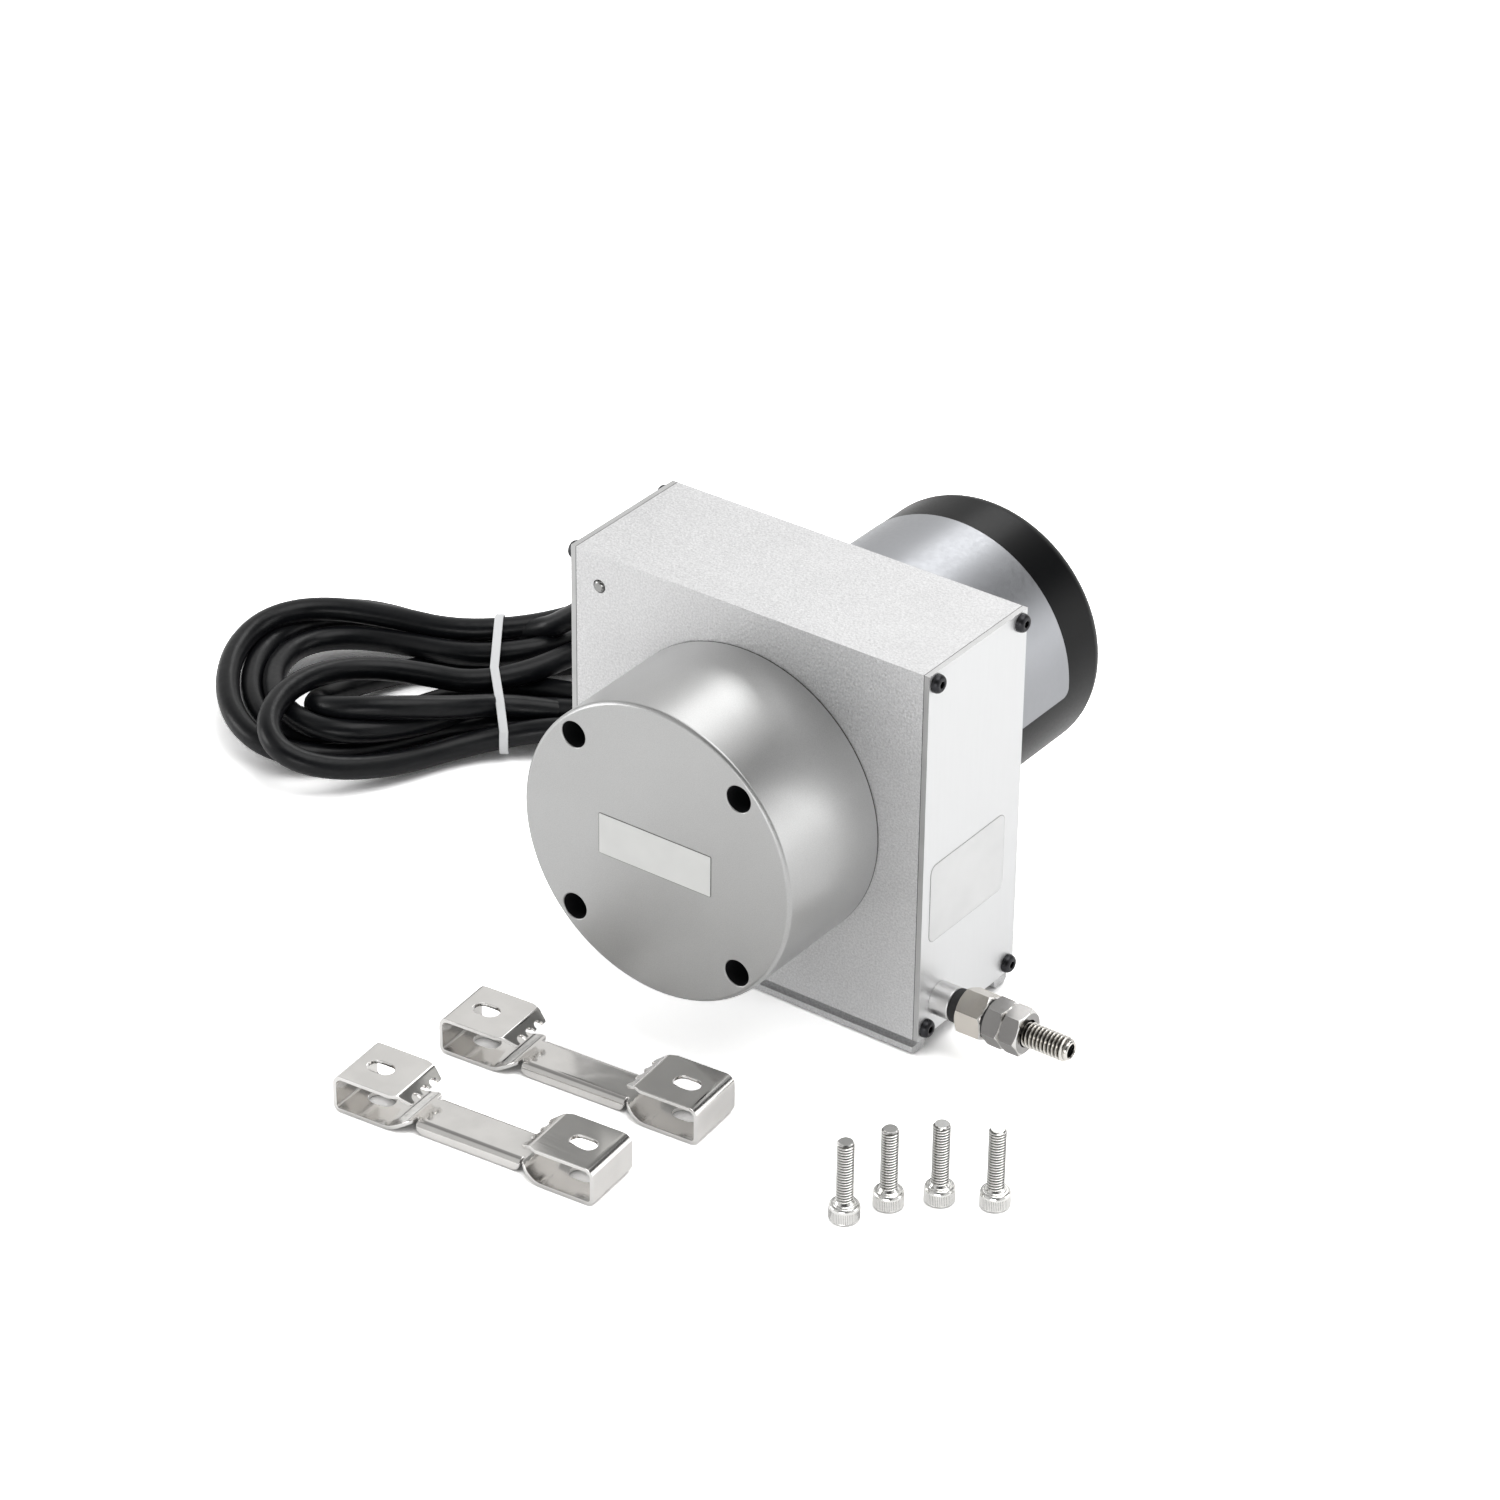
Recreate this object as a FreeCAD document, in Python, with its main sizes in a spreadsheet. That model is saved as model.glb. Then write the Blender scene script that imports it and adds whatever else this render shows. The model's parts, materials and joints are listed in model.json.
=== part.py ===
import FreeCAD, Part
import math
import os
import Sketcher
from FreeCAD import Placement, Rotation, Vector

# Draw wire encoder: an aluminium box with a wire drum inside, a spring drum on its front face,
# a rotary encoder on its rear face, a wire that leaves through a bush in the right end cover,
# a hollow threaded pull stud on the wire's end, and the two clamps and four screws that mount it.
#
# Frame: origin under the centre of the box on the plane of its feet, +X along the pulled wire,
# +Y from the spring drum to the encoder, +Z up. Millimetres.

TABLE = [
    ("box_depth", 38.1, "extruded body front to back"),
    ("drum_room_side", 6.0, "drum flange to the end of the body"),
    ("drum_room_low", 5.0, "drum flange to the bottom wall"),
    ("drum_room_high", 3.4, "drum flange to the top wall"),
    ("face_wall", 2.5, "front and rear wall"),
    ("side_wall", 2.0, "top and bottom wall"),
    ("foot_height", 4.2, "feet under the body"),
    ("foot_width", 5.0, "one foot rail front to back"),
    ("foot_groove_depth", 2.9, "clamp groove in a foot rail"),
    ("foot_groove_height", 2.05, "clamp groove in a foot rail"),
    ("foot_chamfer", 0.8, "lower edges of the feet"),
    ("port_inset", 2.6, "cover screw axis from the outer faces"),
    ("port_wall", 1.0, "metal round a cover screw port"),
    ("cover_thickness", 1.5, "end cover plate"),
    ("cover_screw_radius", 1.25, "cover screw thread"),
    ("cover_screw_length", 8.0, "cover screw under its head"),
    ("cover_head_radius", 2.5, "cover screw head"),
    ("cover_head_height", 1.9, "cover screw head"),
    ("thread_play", 0.04, "radial play drawn between a screw and its tapped hole"),
    ("screw_play", 0.15, "radial clearance of a screw in a plain hole"),
    ("seat_play", 0.02, "radial clearance of a pushed or clamped seat"),
    ("turn_length", 250.0, "wire paid out by one turn of the drum"),
    ("wire_diameter", 0.6, "draw wire"),
    ("wire_turns", 8, "turns of wire on the drum"),
    ("wire_pitch", 0.8, "spacing of the turns"),
    ("wire_seat", 0.1, "end of the wire inside its crimp"),
    ("wire_lead_off", 7.4, "start of the straight wire beside the winding"),
    ("drum_gap", 0.46, "drum flange to the front wall"),
    ("drum_flange", 1.1, "drum flange thickness"),
    ("drum_groove", 7.1, "drum groove width"),
    ("drum_flange_rise", 1.5, "drum flange above the groove"),
    ("drum_rim", 3.5, "drum rim thickness"),
    ("drum_web", 3.0, "drum web thickness"),
    ("drum_hub_radius", 11.0, "drum hub"),
    ("drum_hub_length", 14.0, "drum hub"),
    ("web_hole_radius", 7.0, "lightening holes of the web"),
    ("web_hole_circle", 23.5, "lightening holes of the web"),
    ("web_hole_count", 6, "lightening holes of the web"),
    ("shaft_radius", 4.0, "main shaft"),
    ("shaft_opening", 11.0, "opening for the shaft in the front wall"),
    ("spring_radius", 36.6, "spring drum outside"),
    ("spring_length", 33.3, "spring drum in front of the box"),
    ("spring_edge", 0.7, "front edge of the spring drum"),
    ("spring_cavity", 27.8, "spring drum cavity radius"),
    ("spring_face", 3.0, "spring drum front wall"),
    ("spring_boss_radius", 11.0, "bearing boss inside the spring drum"),
    ("spring_skin", 2.8, "metal in front of the front bearing"),
    ("spring_hole_offset", 22.47, "spring drum screws from the axis, across and up"),
    ("spring_hole_radius", 3.2, "counterbore of a spring drum screw"),
    ("spring_hole_depth", 24.0, "counterbore of a spring drum screw"),
    ("spring_plate", 1.5, "plate that closes the spring drum"),
    ("spring_plate_lip", 0.8, "step that the plate sits on"),
    ("band_thickness", 0.45, "power spring band"),
    ("band_gap_front", 2.0, "power spring band behind the bearing boss"),
    ("band_gap_back", 1.3, "power spring band in front of the closing plate"),
    ("band_turns", 5, "power spring turns"),
    ("arbor_radius", 9.0, "spring arbor"),
    ("screw_radius", 1.5, "machine screws"),
    ("screw_head_radius", 2.75, "machine screw heads"),
    ("screw_head_height", 3.0, "machine screw heads"),
    ("bearing_outer", 8.0, "ball bearing outside radius"),
    ("bearing_width", 4.0, "ball bearing width"),
    ("bearing_ring", 1.15, "ball bearing ring thickness"),
    ("ball_count", 6, "balls in one bearing"),
    ("carrier_radius", 23.0, "bearing carrier inside the rear wall"),
    ("carrier_thickness", 6.0, "bearing carrier"),
    ("carrier_screw_circle", 19.0, "screws through carrier and rear wall"),
    ("pilot_radius", 15.0, "encoder pilot in the rear wall"),
    ("flange_thickness", 4.0, "encoder flange"),
    ("cap_radius", 32.66, "encoder cap outside"),
    ("cap_length", 60.4, "encoder cap behind the box"),
    ("cap_wall", 2.6, "encoder cap wall"),
    ("cap_face", 3.0, "encoder cap rear face"),
    ("cap_edge", 4.5, "rounded rear edge of the cap"),
    ("cap_gap", 0.1, "joint between box and cap"),
    ("disc_radius", 20.0, "code disc"),
    ("disc_thickness", 0.5, "code disc"),
    ("disc_place", 30.5, "code disc behind the middle plane"),
    ("board_radius", 27.0, "encoder circuit board"),
    ("board_thickness", 1.6, "encoder circuit board"),
    ("board_place", 40.0, "encoder circuit board behind the middle plane"),
    ("post_radius", 2.4, "posts that carry board and cap"),
    ("post_circle", 23.0, "posts that carry board and cap"),
    ("gland_place", 62.0, "cable gland behind the middle plane"),
    ("gland_flats", 14.0, "cable gland across flats"),
    ("gland_thread", 5.9, "cable gland thread radius"),
    ("gland_pad", 8.5, "flat pad for the gland on the cap"),
    ("cable_diameter", 6.0, "encoder cable"),
    ("hank_near", 26.3, "coiled cable under its tie, from the middle to the near side"),
    ("hank_far", 17.1, "coiled cable under its tie, from the middle to the far side"),
    ("hank_waist", 13.0, "height of the coiled cable under its tie"),
    ("hank_height", 18.5, "height of the coiled cable"),
    ("tie_thickness", 0.8, "cable tie strap"),
    ("tie_width", 2.2, "cable tie strap"),
    ("tie_slack", 0.05, "room between tie and cable"),
    ("bush_radius", 4.0, "wire outlet bush"),
    ("bush_length", 5.0, "wire outlet bush outside the cover"),
    ("bush_thread", 3.4, "wire outlet bush through the cover"),
    ("bush_inside", 2.7, "wire outlet bush behind the cover"),
    ("ring_nut", 2.5, "ring nut behind the cover"),
    ("ring_nut_radius", 4.0, "ring nut behind the cover"),
    ("guide_radius", 2.0, "ceramic wire guide"),
    ("guide_bore", 0.6, "ceramic wire guide bore"),
    ("buffer_length", 2.5, "rubber buffer ring"),
    ("buffer_bore", 1.5, "rubber buffer ring"),
    ("rest_gap", 0.05, "pull stud to buffer with the wire home"),
    ("stud_flats", 10.0, "pull stud and lock nuts across flats"),
    ("stud_hex_length", 6.95, "hexagon of the pull stud"),
    ("stud_radius", 2.95, "pull stud thread"),
    ("stud_core", 2.7, "pull stud thread where the nuts engage it"),
    ("stud_length", 21.2, "pull stud beyond its hexagon"),
    ("stud_bore", 1.6, "hollow of the pull stud"),
    ("stud_floor", 2.0, "floor that holds the wire crimp"),
    ("stud_wire_hole", 0.5, "hole for the wire in that floor"),
    ("crimp_radius", 1.52, "crimp on the wire end"),
    ("crimp_length", 5.0, "crimp on the wire end"),
    ("washer_thickness", 0.35, "black washer under the first lock nut"),
    ("nut_length", 4.65, "lock nut"),
    ("pin_radius", 1.5, "steel pin in the front face"),
    ("pin_collar", 0.7, "collar of the pin behind the front wall"),
    ("pin_reach", 0.5, "pin in front of the front wall"),
    ("pin_side", 6.5, "pin from the left end of the body"),
    ("pin_drop", 8.1, "pin below the top of the body"),
    ("clamp_half", 34.2, "clamp half length"),
    ("clamp_width", 15.8, "clamp loops front to back"),
    ("clamp_height", 9.5, "clamp loops"),
    ("clamp_sheet", 1.0, "clamp sheet"),
    ("clamp_strip_top", 3.3, "raised middle strip"),
    ("clamp_strip_half", 5.6, "half width of the middle strip"),
    ("clamp_grip", 16.3, "tooth tips from the middle"),
    ("clamp_lip", 19.8, "bend of the toothed lip from the middle"),
    ("clamp_lip_drop", 2.3, "fall of the toothed lip"),
    ("clamp_ramp", 20.4, "foot of the ramp from the middle"),
    ("slot_place", 26.6, "slot middle from the clamp middle"),
    ("slot_radius", 2.35, "slot end radius"),
    ("slot_travel", 2.3, "slot length between its end centres"),
    ("tooth_radius", 1.25, "notch between two teeth"),
    ("tooth_pitch", 3.4, "notch spacing"),
    ("mount_screw_radius", 2.0, "clamp screw thread"),
    ("mount_screw_length", 16.0, "clamp screw under its head"),
    ("mount_head_radius", 3.5, "clamp screw head"),
    ("mount_head_height", 4.0, "clamp screw head"),
    ("mount_socket", 1.5, "half width of the socket in a clamp screw"),
]

doc = FreeCAD.newDocument("draw_wire_encoder")
sheet = doc.addObject("Spreadsheet::Sheet", "dims")
for row, (alias, number, note) in enumerate(TABLE, 1):
    sheet.set("A%d" % row, note)
    sheet.set("B%d" % row, str(number))
    sheet.setAlias("B%d" % row, alias)
doc.recompute()


class Size:
    """A number that carries the sheet expression it comes from."""

    def __init__(self, value, text):
        self.value = float(value)
        self.text = text

    def _join(self, other, sign, value):
        other = as_size(other)
        return Size(value(self.value, other.value), "(%s %s %s)" % (self.text, sign, other.text))

    def __add__(self, other):
        return self._join(other, "+", lambda a, b: a + b)

    def __sub__(self, other):
        return self._join(other, "-", lambda a, b: a - b)

    def __mul__(self, other):
        return self._join(other, "*", lambda a, b: a * b)

    def __truediv__(self, other):
        return self._join(other, "/", lambda a, b: a / b)

    def __radd__(self, other):
        return as_size(other) + self

    def __rsub__(self, other):
        return as_size(other) - self

    def __rmul__(self, other):
        return as_size(other) * self

    def __neg__(self):
        return as_size(0) - self


def as_size(value):
    if isinstance(value, Size):
        return value
    return Size(value, "%.9g" % value if value >= 0 else "(0 - %.9g)" % -value)


def value_of(value):
    return value.value if isinstance(value, Size) else float(value)


D = {}
for alias, number, note in TABLE:
    D[alias] = Size(number, "dims." + alias)


def bind(obj, prop, value):
    if isinstance(value, Size):
        obj.setExpression(prop, value.text)
    else:
        setattr(obj, prop, value)


# ---- placements: the local Z axis of a turned or padded piece points along one of these

UP = Rotation()
ALONG_X = Rotation(Vector(1, 1, 1), 120)
TO_X = Rotation(Vector(0, 1, 0), 90)
BACK_X = Rotation(Vector(0, 1, 0), -90)
REAR_Y = Rotation(Vector(1, 0, 0), -90)
FRONT_Y = Rotation(Vector(1, 0, 0), 90)


def place(obj, at, turn=UP):
    obj.Placement = Placement(Vector(*[value_of(v) for v in at]), turn)
    for letter, v in zip("xyz", at):
        if isinstance(v, Size):
            obj.setExpression("Placement.Base." + letter, v.text)
    return obj


# ---- sketches

def origin_plane(body, role):
    for feature in body.Origin.OriginFeatures:
        if feature.Role == role:
            return feature
    raise RuntimeError("no plane " + role)


def new_sketch(body, name, role, lift=0):
    sketch = body.newObject("Sketcher::SketchObject", name)
    sketch.AttachmentSupport = [(origin_plane(body, role), "")]
    sketch.MapMode = "FlatFace"
    sketch.AttachmentOffset = Placement(Vector(0, 0, value_of(lift)), Rotation())
    if isinstance(lift, Size):
        sketch.setExpression("AttachmentOffset.Base.z", lift.text)
    return sketch


def hold(sketch, kind, index, pos, value):
    if not isinstance(value, Size) and abs(value) < 1e-9:
        axis = -2 if kind == "DistanceX" else -1
        sketch.addConstraint(Sketcher.Constraint("PointOnObject", index, pos, axis))
        return
    number = sketch.addConstraint(Sketcher.Constraint(kind, -1, 1, index, pos, value_of(value)))
    if isinstance(value, Size):
        sketch.setExpression("Constraints[%d]" % number, value.text)


def polygon(sketch, points):
    first = sketch.GeometryCount
    flat = [Vector(value_of(p[0]), value_of(p[1]), 0) for p in points]
    count = len(flat)
    for i in range(count):
        sketch.addGeometry(Part.LineSegment(flat[i], flat[(i + 1) % count]), False)
    for i in range(count):
        sketch.addConstraint(Sketcher.Constraint("Coincident", first + i, 2, first + (i + 1) % count, 1))
    for i, p in enumerate(points):
        hold(sketch, "DistanceX", first + i, 1, p[0])
        hold(sketch, "DistanceY", first + i, 1, p[1])


def circle(sketch, centre, radius):
    mid = Vector(value_of(centre[0]), value_of(centre[1]), 0)
    index = sketch.addGeometry(Part.Circle(mid, Vector(0, 0, 1), value_of(radius)), False)
    hold(sketch, "DistanceX", index, 3, centre[0])
    hold(sketch, "DistanceY", index, 3, centre[1])
    number = sketch.addConstraint(Sketcher.Constraint("Radius", index, value_of(radius)))
    if isinstance(radius, Size):
        sketch.setExpression("Constraints[%d]" % number, radius.text)


def new_body(name):
    body = doc.addObject("PartDesign::Body", name)
    body.Label = name
    return body


def turned(name, points, at=(0, 0, 0), turn=UP):
    """A body of revolution: points are (radius, height) about its own Z axis."""
    body = new_body(name)
    sketch = new_sketch(body, name + "_profile", "XZ_Plane")
    polygon(sketch, points)
    feature = body.newObject("PartDesign::Revolution", name + "_turn")
    feature.Profile = sketch
    feature.ReferenceAxis = (sketch, ["V_Axis"])
    feature.Angle = 360
    return place(body, at, turn)


def padded(name, points, length, at=(0, 0, 0), turn=UP, lift=0):
    """A straight body: points are its section, length its reach along its own Z axis."""
    body = new_body(name)
    sketch = new_sketch(body, name + "_section", "XY_Plane", lift)
    polygon(sketch, points)
    feature = body.newObject("PartDesign::Pad", name + "_pad")
    feature.Profile = sketch
    bind(feature, "Length", length)
    return place(body, at, turn)


def drilled(body, name, circles, depth, lift=0):
    """Round holes cut from a plane at height lift, downwards along the body's own Z axis."""
    sketch = new_sketch(body, name, "XY_Plane", lift)
    for centre, radius in circles:
        circle(sketch, centre, radius)
    feature = body.newObject("PartDesign::Pocket", name + "_cut")
    feature.Profile = sketch
    bind(feature, "Length", depth)
    return body


def rounded(body, radius, wanted):
    """Fillet the edges of the body's last feature that wanted(edge) picks."""
    doc.recompute()
    base = body.Tip
    names = ["Edge%d" % (i + 1) for i, edge in enumerate(base.Shape.Edges) if wanted(edge)]
    feature = body.newObject("PartDesign::Fillet", body.Name + "_round%d" % len(body.Group))
    feature.Base = (base, names)
    bind(feature, "Radius", radius)
    return body


def rod(name, radius, length, at, turn=UP):
    obj = doc.addObject("Part::Cylinder", name)
    bind(obj, "Radius", radius)
    bind(obj, "Height", length)
    return place(obj, at, turn)


def brick(name, size, at, turn=UP):
    obj = doc.addObject("Part::Box", name)
    bind(obj, "Length", size[0])
    bind(obj, "Width", size[1])
    bind(obj, "Height", size[2])
    return place(obj, at, turn)


def hexagon(name, flats, length, at, turn=UP):
    obj = doc.addObject("Part::Prism", name)
    obj.Polygon = 6
    bind(obj, "Circumradius", flats * (1 / math.sqrt(3)))
    bind(obj, "Height", length)
    return place(obj, at, turn)


def group(kind, name, parts):
    obj = doc.addObject("Part::" + kind, name)
    if kind == "Cut":
        obj.Base, obj.Tool = parts
    elif kind in ("MultiFuse", "MultiCommon"):
        obj.Shapes = parts
    else:
        obj.Links = parts
    obj.Label = name
    return obj


def minus(name, base, tools):
    tool = tools[0] if len(tools) == 1 else group("MultiFuse", name + "_tools", tools)
    return group("Cut", name, [base, tool])


NODES = {}


def node(name, obj):
    obj.Label = name
    NODES[name] = obj
    return obj


def screw(name, radius, length, head_radius, head_height, at, turn):
    """Shank along +Z from the seat of the head, which lies below the seat."""
    return turned(name, [
        (0, -head_height), (head_radius, -head_height), (head_radius, 0), (radius, 0),
        (radius, length), (0, length)], at, turn)


# ---- places that several pieces share

groove_radius = D["turn_length"] / (2 * math.pi)
wind_radius = groove_radius + D["wire_diameter"]
flange_r = groove_radius + D["drum_flange_rise"]
half_w = flange_r + D["drum_room_side"]
half_d = D["box_depth"] / 2
box_low = D["foot_height"]
axis_z = box_low + D["side_wall"] + D["drum_room_low"] + flange_r
box_top = axis_z + flange_r + D["drum_room_high"] + D["side_wall"]
cover_out = half_w + D["cover_thickness"]
wire_z = axis_z - groove_radius - D["wire_diameter"] / 2
front_in = -half_d + D["face_wall"]
drum_front = front_in + D["drum_gap"]
wire_y = drum_front + D["drum_flange"] + D["drum_groove"] / 2
rear_in = half_d - D["face_wall"]
bore = D["shaft_radius"] + D["seat_play"]
port_y = half_d - D["port_inset"]
port_low = box_low + D["port_inset"]
port_high = box_top - D["port_inset"]
tapped = D["cover_screw_radius"] + D["thread_play"]
spring_front = -half_d - D["spring_length"]
seat = D["bearing_outer"] + D["seat_play"]

# ---- extruded body with its feet, cover screw ports and openings

fw = D["foot_width"]
gd = D["foot_groove_depth"]
gh = D["foot_height"] - D["foot_groove_height"]
fc = D["foot_chamfer"]
port_in = half_d - D["port_inset"] - D["cover_screw_radius"] - D["port_wall"]
port_up = box_low + D["port_inset"] + D["cover_screw_radius"] + D["port_wall"]
port_dn = box_top - D["port_inset"] - D["cover_screw_radius"] - D["port_wall"]
cav_low = box_low + D["side_wall"]
cav_top = box_top - D["side_wall"]

outer = [(-half_d + fc, 0), (-half_d + fw - fc, 0), (-half_d + fw, fc), (-half_d + fw, box_low),
         (half_d - fw, box_low), (half_d - fw, fc), (half_d - fw + fc, 0), (half_d - fc, 0),
         (half_d, fc), (half_d, gh), (half_d - gd, gh), (half_d - gd, box_low), (half_d, box_low),
         (half_d, box_top), (-half_d, box_top), (-half_d, box_low), (-half_d + gd, box_low),
         (-half_d + gd, gh), (-half_d, gh), (-half_d, fc)]
inner = [(-port_in, cav_low), (port_in, cav_low), (port_in, port_up), (rear_in, port_up),
         (rear_in, port_dn), (port_in, port_dn), (port_in, cav_top), (-port_in, cav_top),
         (-port_in, port_dn), (front_in, port_dn), (front_in, port_up), (-port_in, port_up)]

body = new_body("housing_section")
section = new_sketch(body, "housing_outline", "XY_Plane")
polygon(section, outer)
polygon(section, inner)
for sy in (-1, 1):
    for z in (port_low, port_high):
        circle(section, (port_y * sy, z), tapped)
pad = body.newObject("PartDesign::Pad", "housing_pad")
pad.Profile = section
bind(pad, "Length", half_w * 2)
place(body, (-half_w, 0, 0), ALONG_X)

cuts = [rod("shaft_window", D["shaft_opening"], D["face_wall"] + 2, (0, -half_d - 1, axis_z), REAR_Y),
        rod("pilot_window", D["pilot_radius"] + D["seat_play"] * 2, D["face_wall"] + 2,
            (0, rear_in - 1, axis_z), REAR_Y)]
for sx in (-1, 1):
    for sz in (-1, 1):
        cuts.append(rod("spring_tap", D["screw_radius"] + D["thread_play"], D["face_wall"] + 2,
                        (D["spring_hole_offset"] * sx, -half_d - 1,
                         axis_z + D["spring_hole_offset"] * sz), REAR_Y))
CARRIER_ANGLES = (90, 210, 330)
for angle in CARRIER_ANGLES:
    c = math.cos(math.radians(angle))
    s = math.sin(math.radians(angle))
    cuts.append(rod("carrier_hole", D["screw_radius"] + D["screw_play"], D["face_wall"] + 2,
                    (D["carrier_screw_circle"] * c, rear_in - 1,
                     axis_z + D["carrier_screw_circle"] * s), REAR_Y))
pin_x = -half_w + D["pin_side"]
pin_z = box_top - D["pin_drop"]
cuts.append(rod("pin_hole", D["pin_radius"] + D["screw_play"], D["face_wall"] + 2,
                (pin_x, -half_d - 1, pin_z), REAR_Y))
node("housing_extrusion", minus("housing_extrusion", body, cuts))

collar = D["pin_collar"]
pin_end = D["face_wall"] + collar + D["pin_reach"]
pin = turned("front_face_pin", [
    (0, 0), (D["pin_radius"] + collar, 0), (D["pin_radius"] + collar, collar),
    (D["pin_radius"], collar), (D["pin_radius"], pin_end - D["pin_reach"] / 2),
    (D["pin_radius"] * 0.7, pin_end), (0, pin_end)],
    (pin_x, front_in + collar, pin_z), FRONT_Y)
node("front_face_pin", pin)

# ---- end covers and their screws

cover_outline = [(-half_d, box_low), (half_d, box_low), (half_d, box_top), (-half_d, box_top)]
cover_holes = []
for sy in (-1, 1):
    for z in (port_low, port_high):
        cover_holes.append(((port_y * sy, z), D["cover_screw_radius"] + D["screw_play"]))

left = padded("left_end_cover", cover_outline, D["cover_thickness"], (-cover_out, 0, 0), ALONG_X)
drilled(left, "left_cover_holes", cover_holes, D["cover_thickness"], D["cover_thickness"])
node("left_end_cover", left)

right = padded("right_end_cover", cover_outline, D["cover_thickness"], (half_w, 0, 0), ALONG_X)
drilled(right, "right_cover_holes",
        cover_holes + [((wire_y, wire_z), D["bush_thread"] + D["seat_play"] * 2)],
        D["cover_thickness"], D["cover_thickness"])
node("right_end_cover", right)

for side, name in ((-1, "left_cover_screws"), (1, "right_cover_screws")):
    made = []
    for sy in (-1, 1):
        for z in (port_low, port_high):
            made.append(screw("%s_%d" % (name, len(made) + 1), D["cover_screw_radius"],
                              D["cover_screw_length"], D["cover_head_radius"],
                              D["cover_head_height"], (cover_out * side, port_y * sy, z),
                              BACK_X if side > 0 else TO_X))
    node(name, group("Compound", name, made))

# ---- spring drum on the front face

boss_end = D["spring_skin"] + D["bearing_width"] + 0.2
plate_low = D["spring_length"] - D["spring_plate"]
band_width = plate_low - boss_end - D["band_gap_front"] - D["band_gap_back"]
plate_r = D["spring_cavity"] + D["spring_plate_lip"]
drum_case = turned("spring_case", [
    (0, 0), (D["spring_radius"] - D["spring_edge"], 0), (D["spring_radius"], D["spring_edge"]),
    (D["spring_radius"], D["spring_length"]), (plate_r, D["spring_length"]), (plate_r, plate_low),
    (D["spring_cavity"], plate_low), (D["spring_cavity"], D["spring_face"]),
    (D["spring_boss_radius"], D["spring_face"]), (D["spring_boss_radius"], boss_end),
    (seat, boss_end), (seat, D["spring_skin"]), (0, D["spring_skin"])],
    (0, spring_front, axis_z), REAR_Y)
spots = []
for sx in (-1, 1):
    for sz in (-1, 1):
        spots.append((D["spring_hole_offset"] * sx, D["spring_hole_offset"] * sz))
cuts = []
for i, (x, z) in enumerate(spots):
    cuts.append(rod("case_bore_%d" % i, D["spring_hole_radius"], D["spring_hole_depth"] + 1,
                    (x, spring_front - 1, axis_z + z), REAR_Y))
    cuts.append(rod("case_hole_%d" % i, D["screw_radius"] + D["screw_play"], D["spring_length"] + 2,
                    (x, spring_front - 1, axis_z + z), REAR_Y))
node("spring_housing", minus("spring_housing", drum_case, cuts))

made = []
for x, z in spots:
    made.append(screw("spring_screw_%d" % (len(made) + 1), D["screw_radius"],
                      D["spring_length"] - D["spring_hole_depth"] + D["face_wall"] - 0.2,
                      D["screw_head_radius"], D["screw_head_height"],
                      (x, spring_front + D["spring_hole_depth"], axis_z + z), REAR_Y))
node("spring_housing_screws", group("Compound", "spring_housing_screws", made))

back_plate = turned("spring_back_plate", [
    (D["shaft_opening"], 0), (plate_r - D["seat_play"], 0), (plate_r - D["seat_play"], D["spring_plate"]),
    (D["shaft_opening"], D["spring_plate"])], (0, -half_d - D["spring_plate"], axis_z), REAR_Y)
node("spring_back_plate", back_plate)


def spiral_band():
    """Power spring: half turns of one band, tangent to each other."""
    turns = int(D["band_turns"].value)
    thick = D["band_thickness"].value
    inside = D["arbor_radius"].value + 0.05
    outside = D["spring_cavity"].value - thick - 0.25
    step = (outside - inside) / turns
    edges = []
    for offset in (0.0, thick):
        row = []
        for i in range(2 * turns):
            side = 1 if i % 2 == 0 else -1
            r = inside + offset + step * (i + 0.5) / 2
            shift = step / 4 * side
            arc = Part.Arc(Vector(shift - r * side, 0, 0), Vector(shift, r * side, 0),
                           Vector(shift + r * side, 0, 0))
            row.append(arc.toShape())
        edges.append(row)
    start = Part.LineSegment(edges[0][0].Vertexes[0].Point, edges[1][0].Vertexes[0].Point).toShape()
    end = Part.LineSegment(edges[0][-1].Vertexes[-1].Point, edges[1][-1].Vertexes[-1].Point).toShape()
    outline = Part.Wire(Part.__sortEdges__(edges[0] + edges[1] + [start, end]))
    return Part.Face(outline).extrude(Vector(0, 0, band_width.value))


band_low = spring_front + boss_end + D["band_gap_front"]
spring = doc.addObject("Part::Feature", "power_spring")
spring.Shape = spiral_band()
place(spring, (0, band_low, axis_z), REAR_Y)
node("power_spring", spring)

# ---- rotating parts: shaft, arbor, wire drum, winding

shaft_start = spring_front + D["spring_skin"] + 0.2
shaft_end = D["disc_place"] + 4.5
shaft = turned("drum_shaft", [
    (0, 0), (D["shaft_radius"] - 0.4, 0), (D["shaft_radius"], 0.4),
    (D["shaft_radius"], shaft_end - shaft_start - 0.4), (D["shaft_radius"] - 0.4, shaft_end - shaft_start),
    (0, shaft_end - shaft_start)], (0, shaft_start, axis_z), REAR_Y)
node("drum_shaft", shaft)

arbor_low = spring_front + boss_end + 0.3
arbor_high = drum_front - 0.05
arbor = turned("arbor_blank", [
    (bore, 0), (D["shaft_radius"] + 1.3, 0), (D["shaft_radius"] + 1.3, 1.0), (D["arbor_radius"], 1.0),
    (D["arbor_radius"], arbor_high - arbor_low), (bore, arbor_high - arbor_low)],
    (0, arbor_low, axis_z), REAR_Y)
slot = brick("arbor_slot", (1.2, band_width + 1, 3.2),
             (-0.6, band_low, axis_z - D["arbor_radius"] - 0.4))
node("spring_arbor", minus("spring_arbor", arbor, [slot]))

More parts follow.
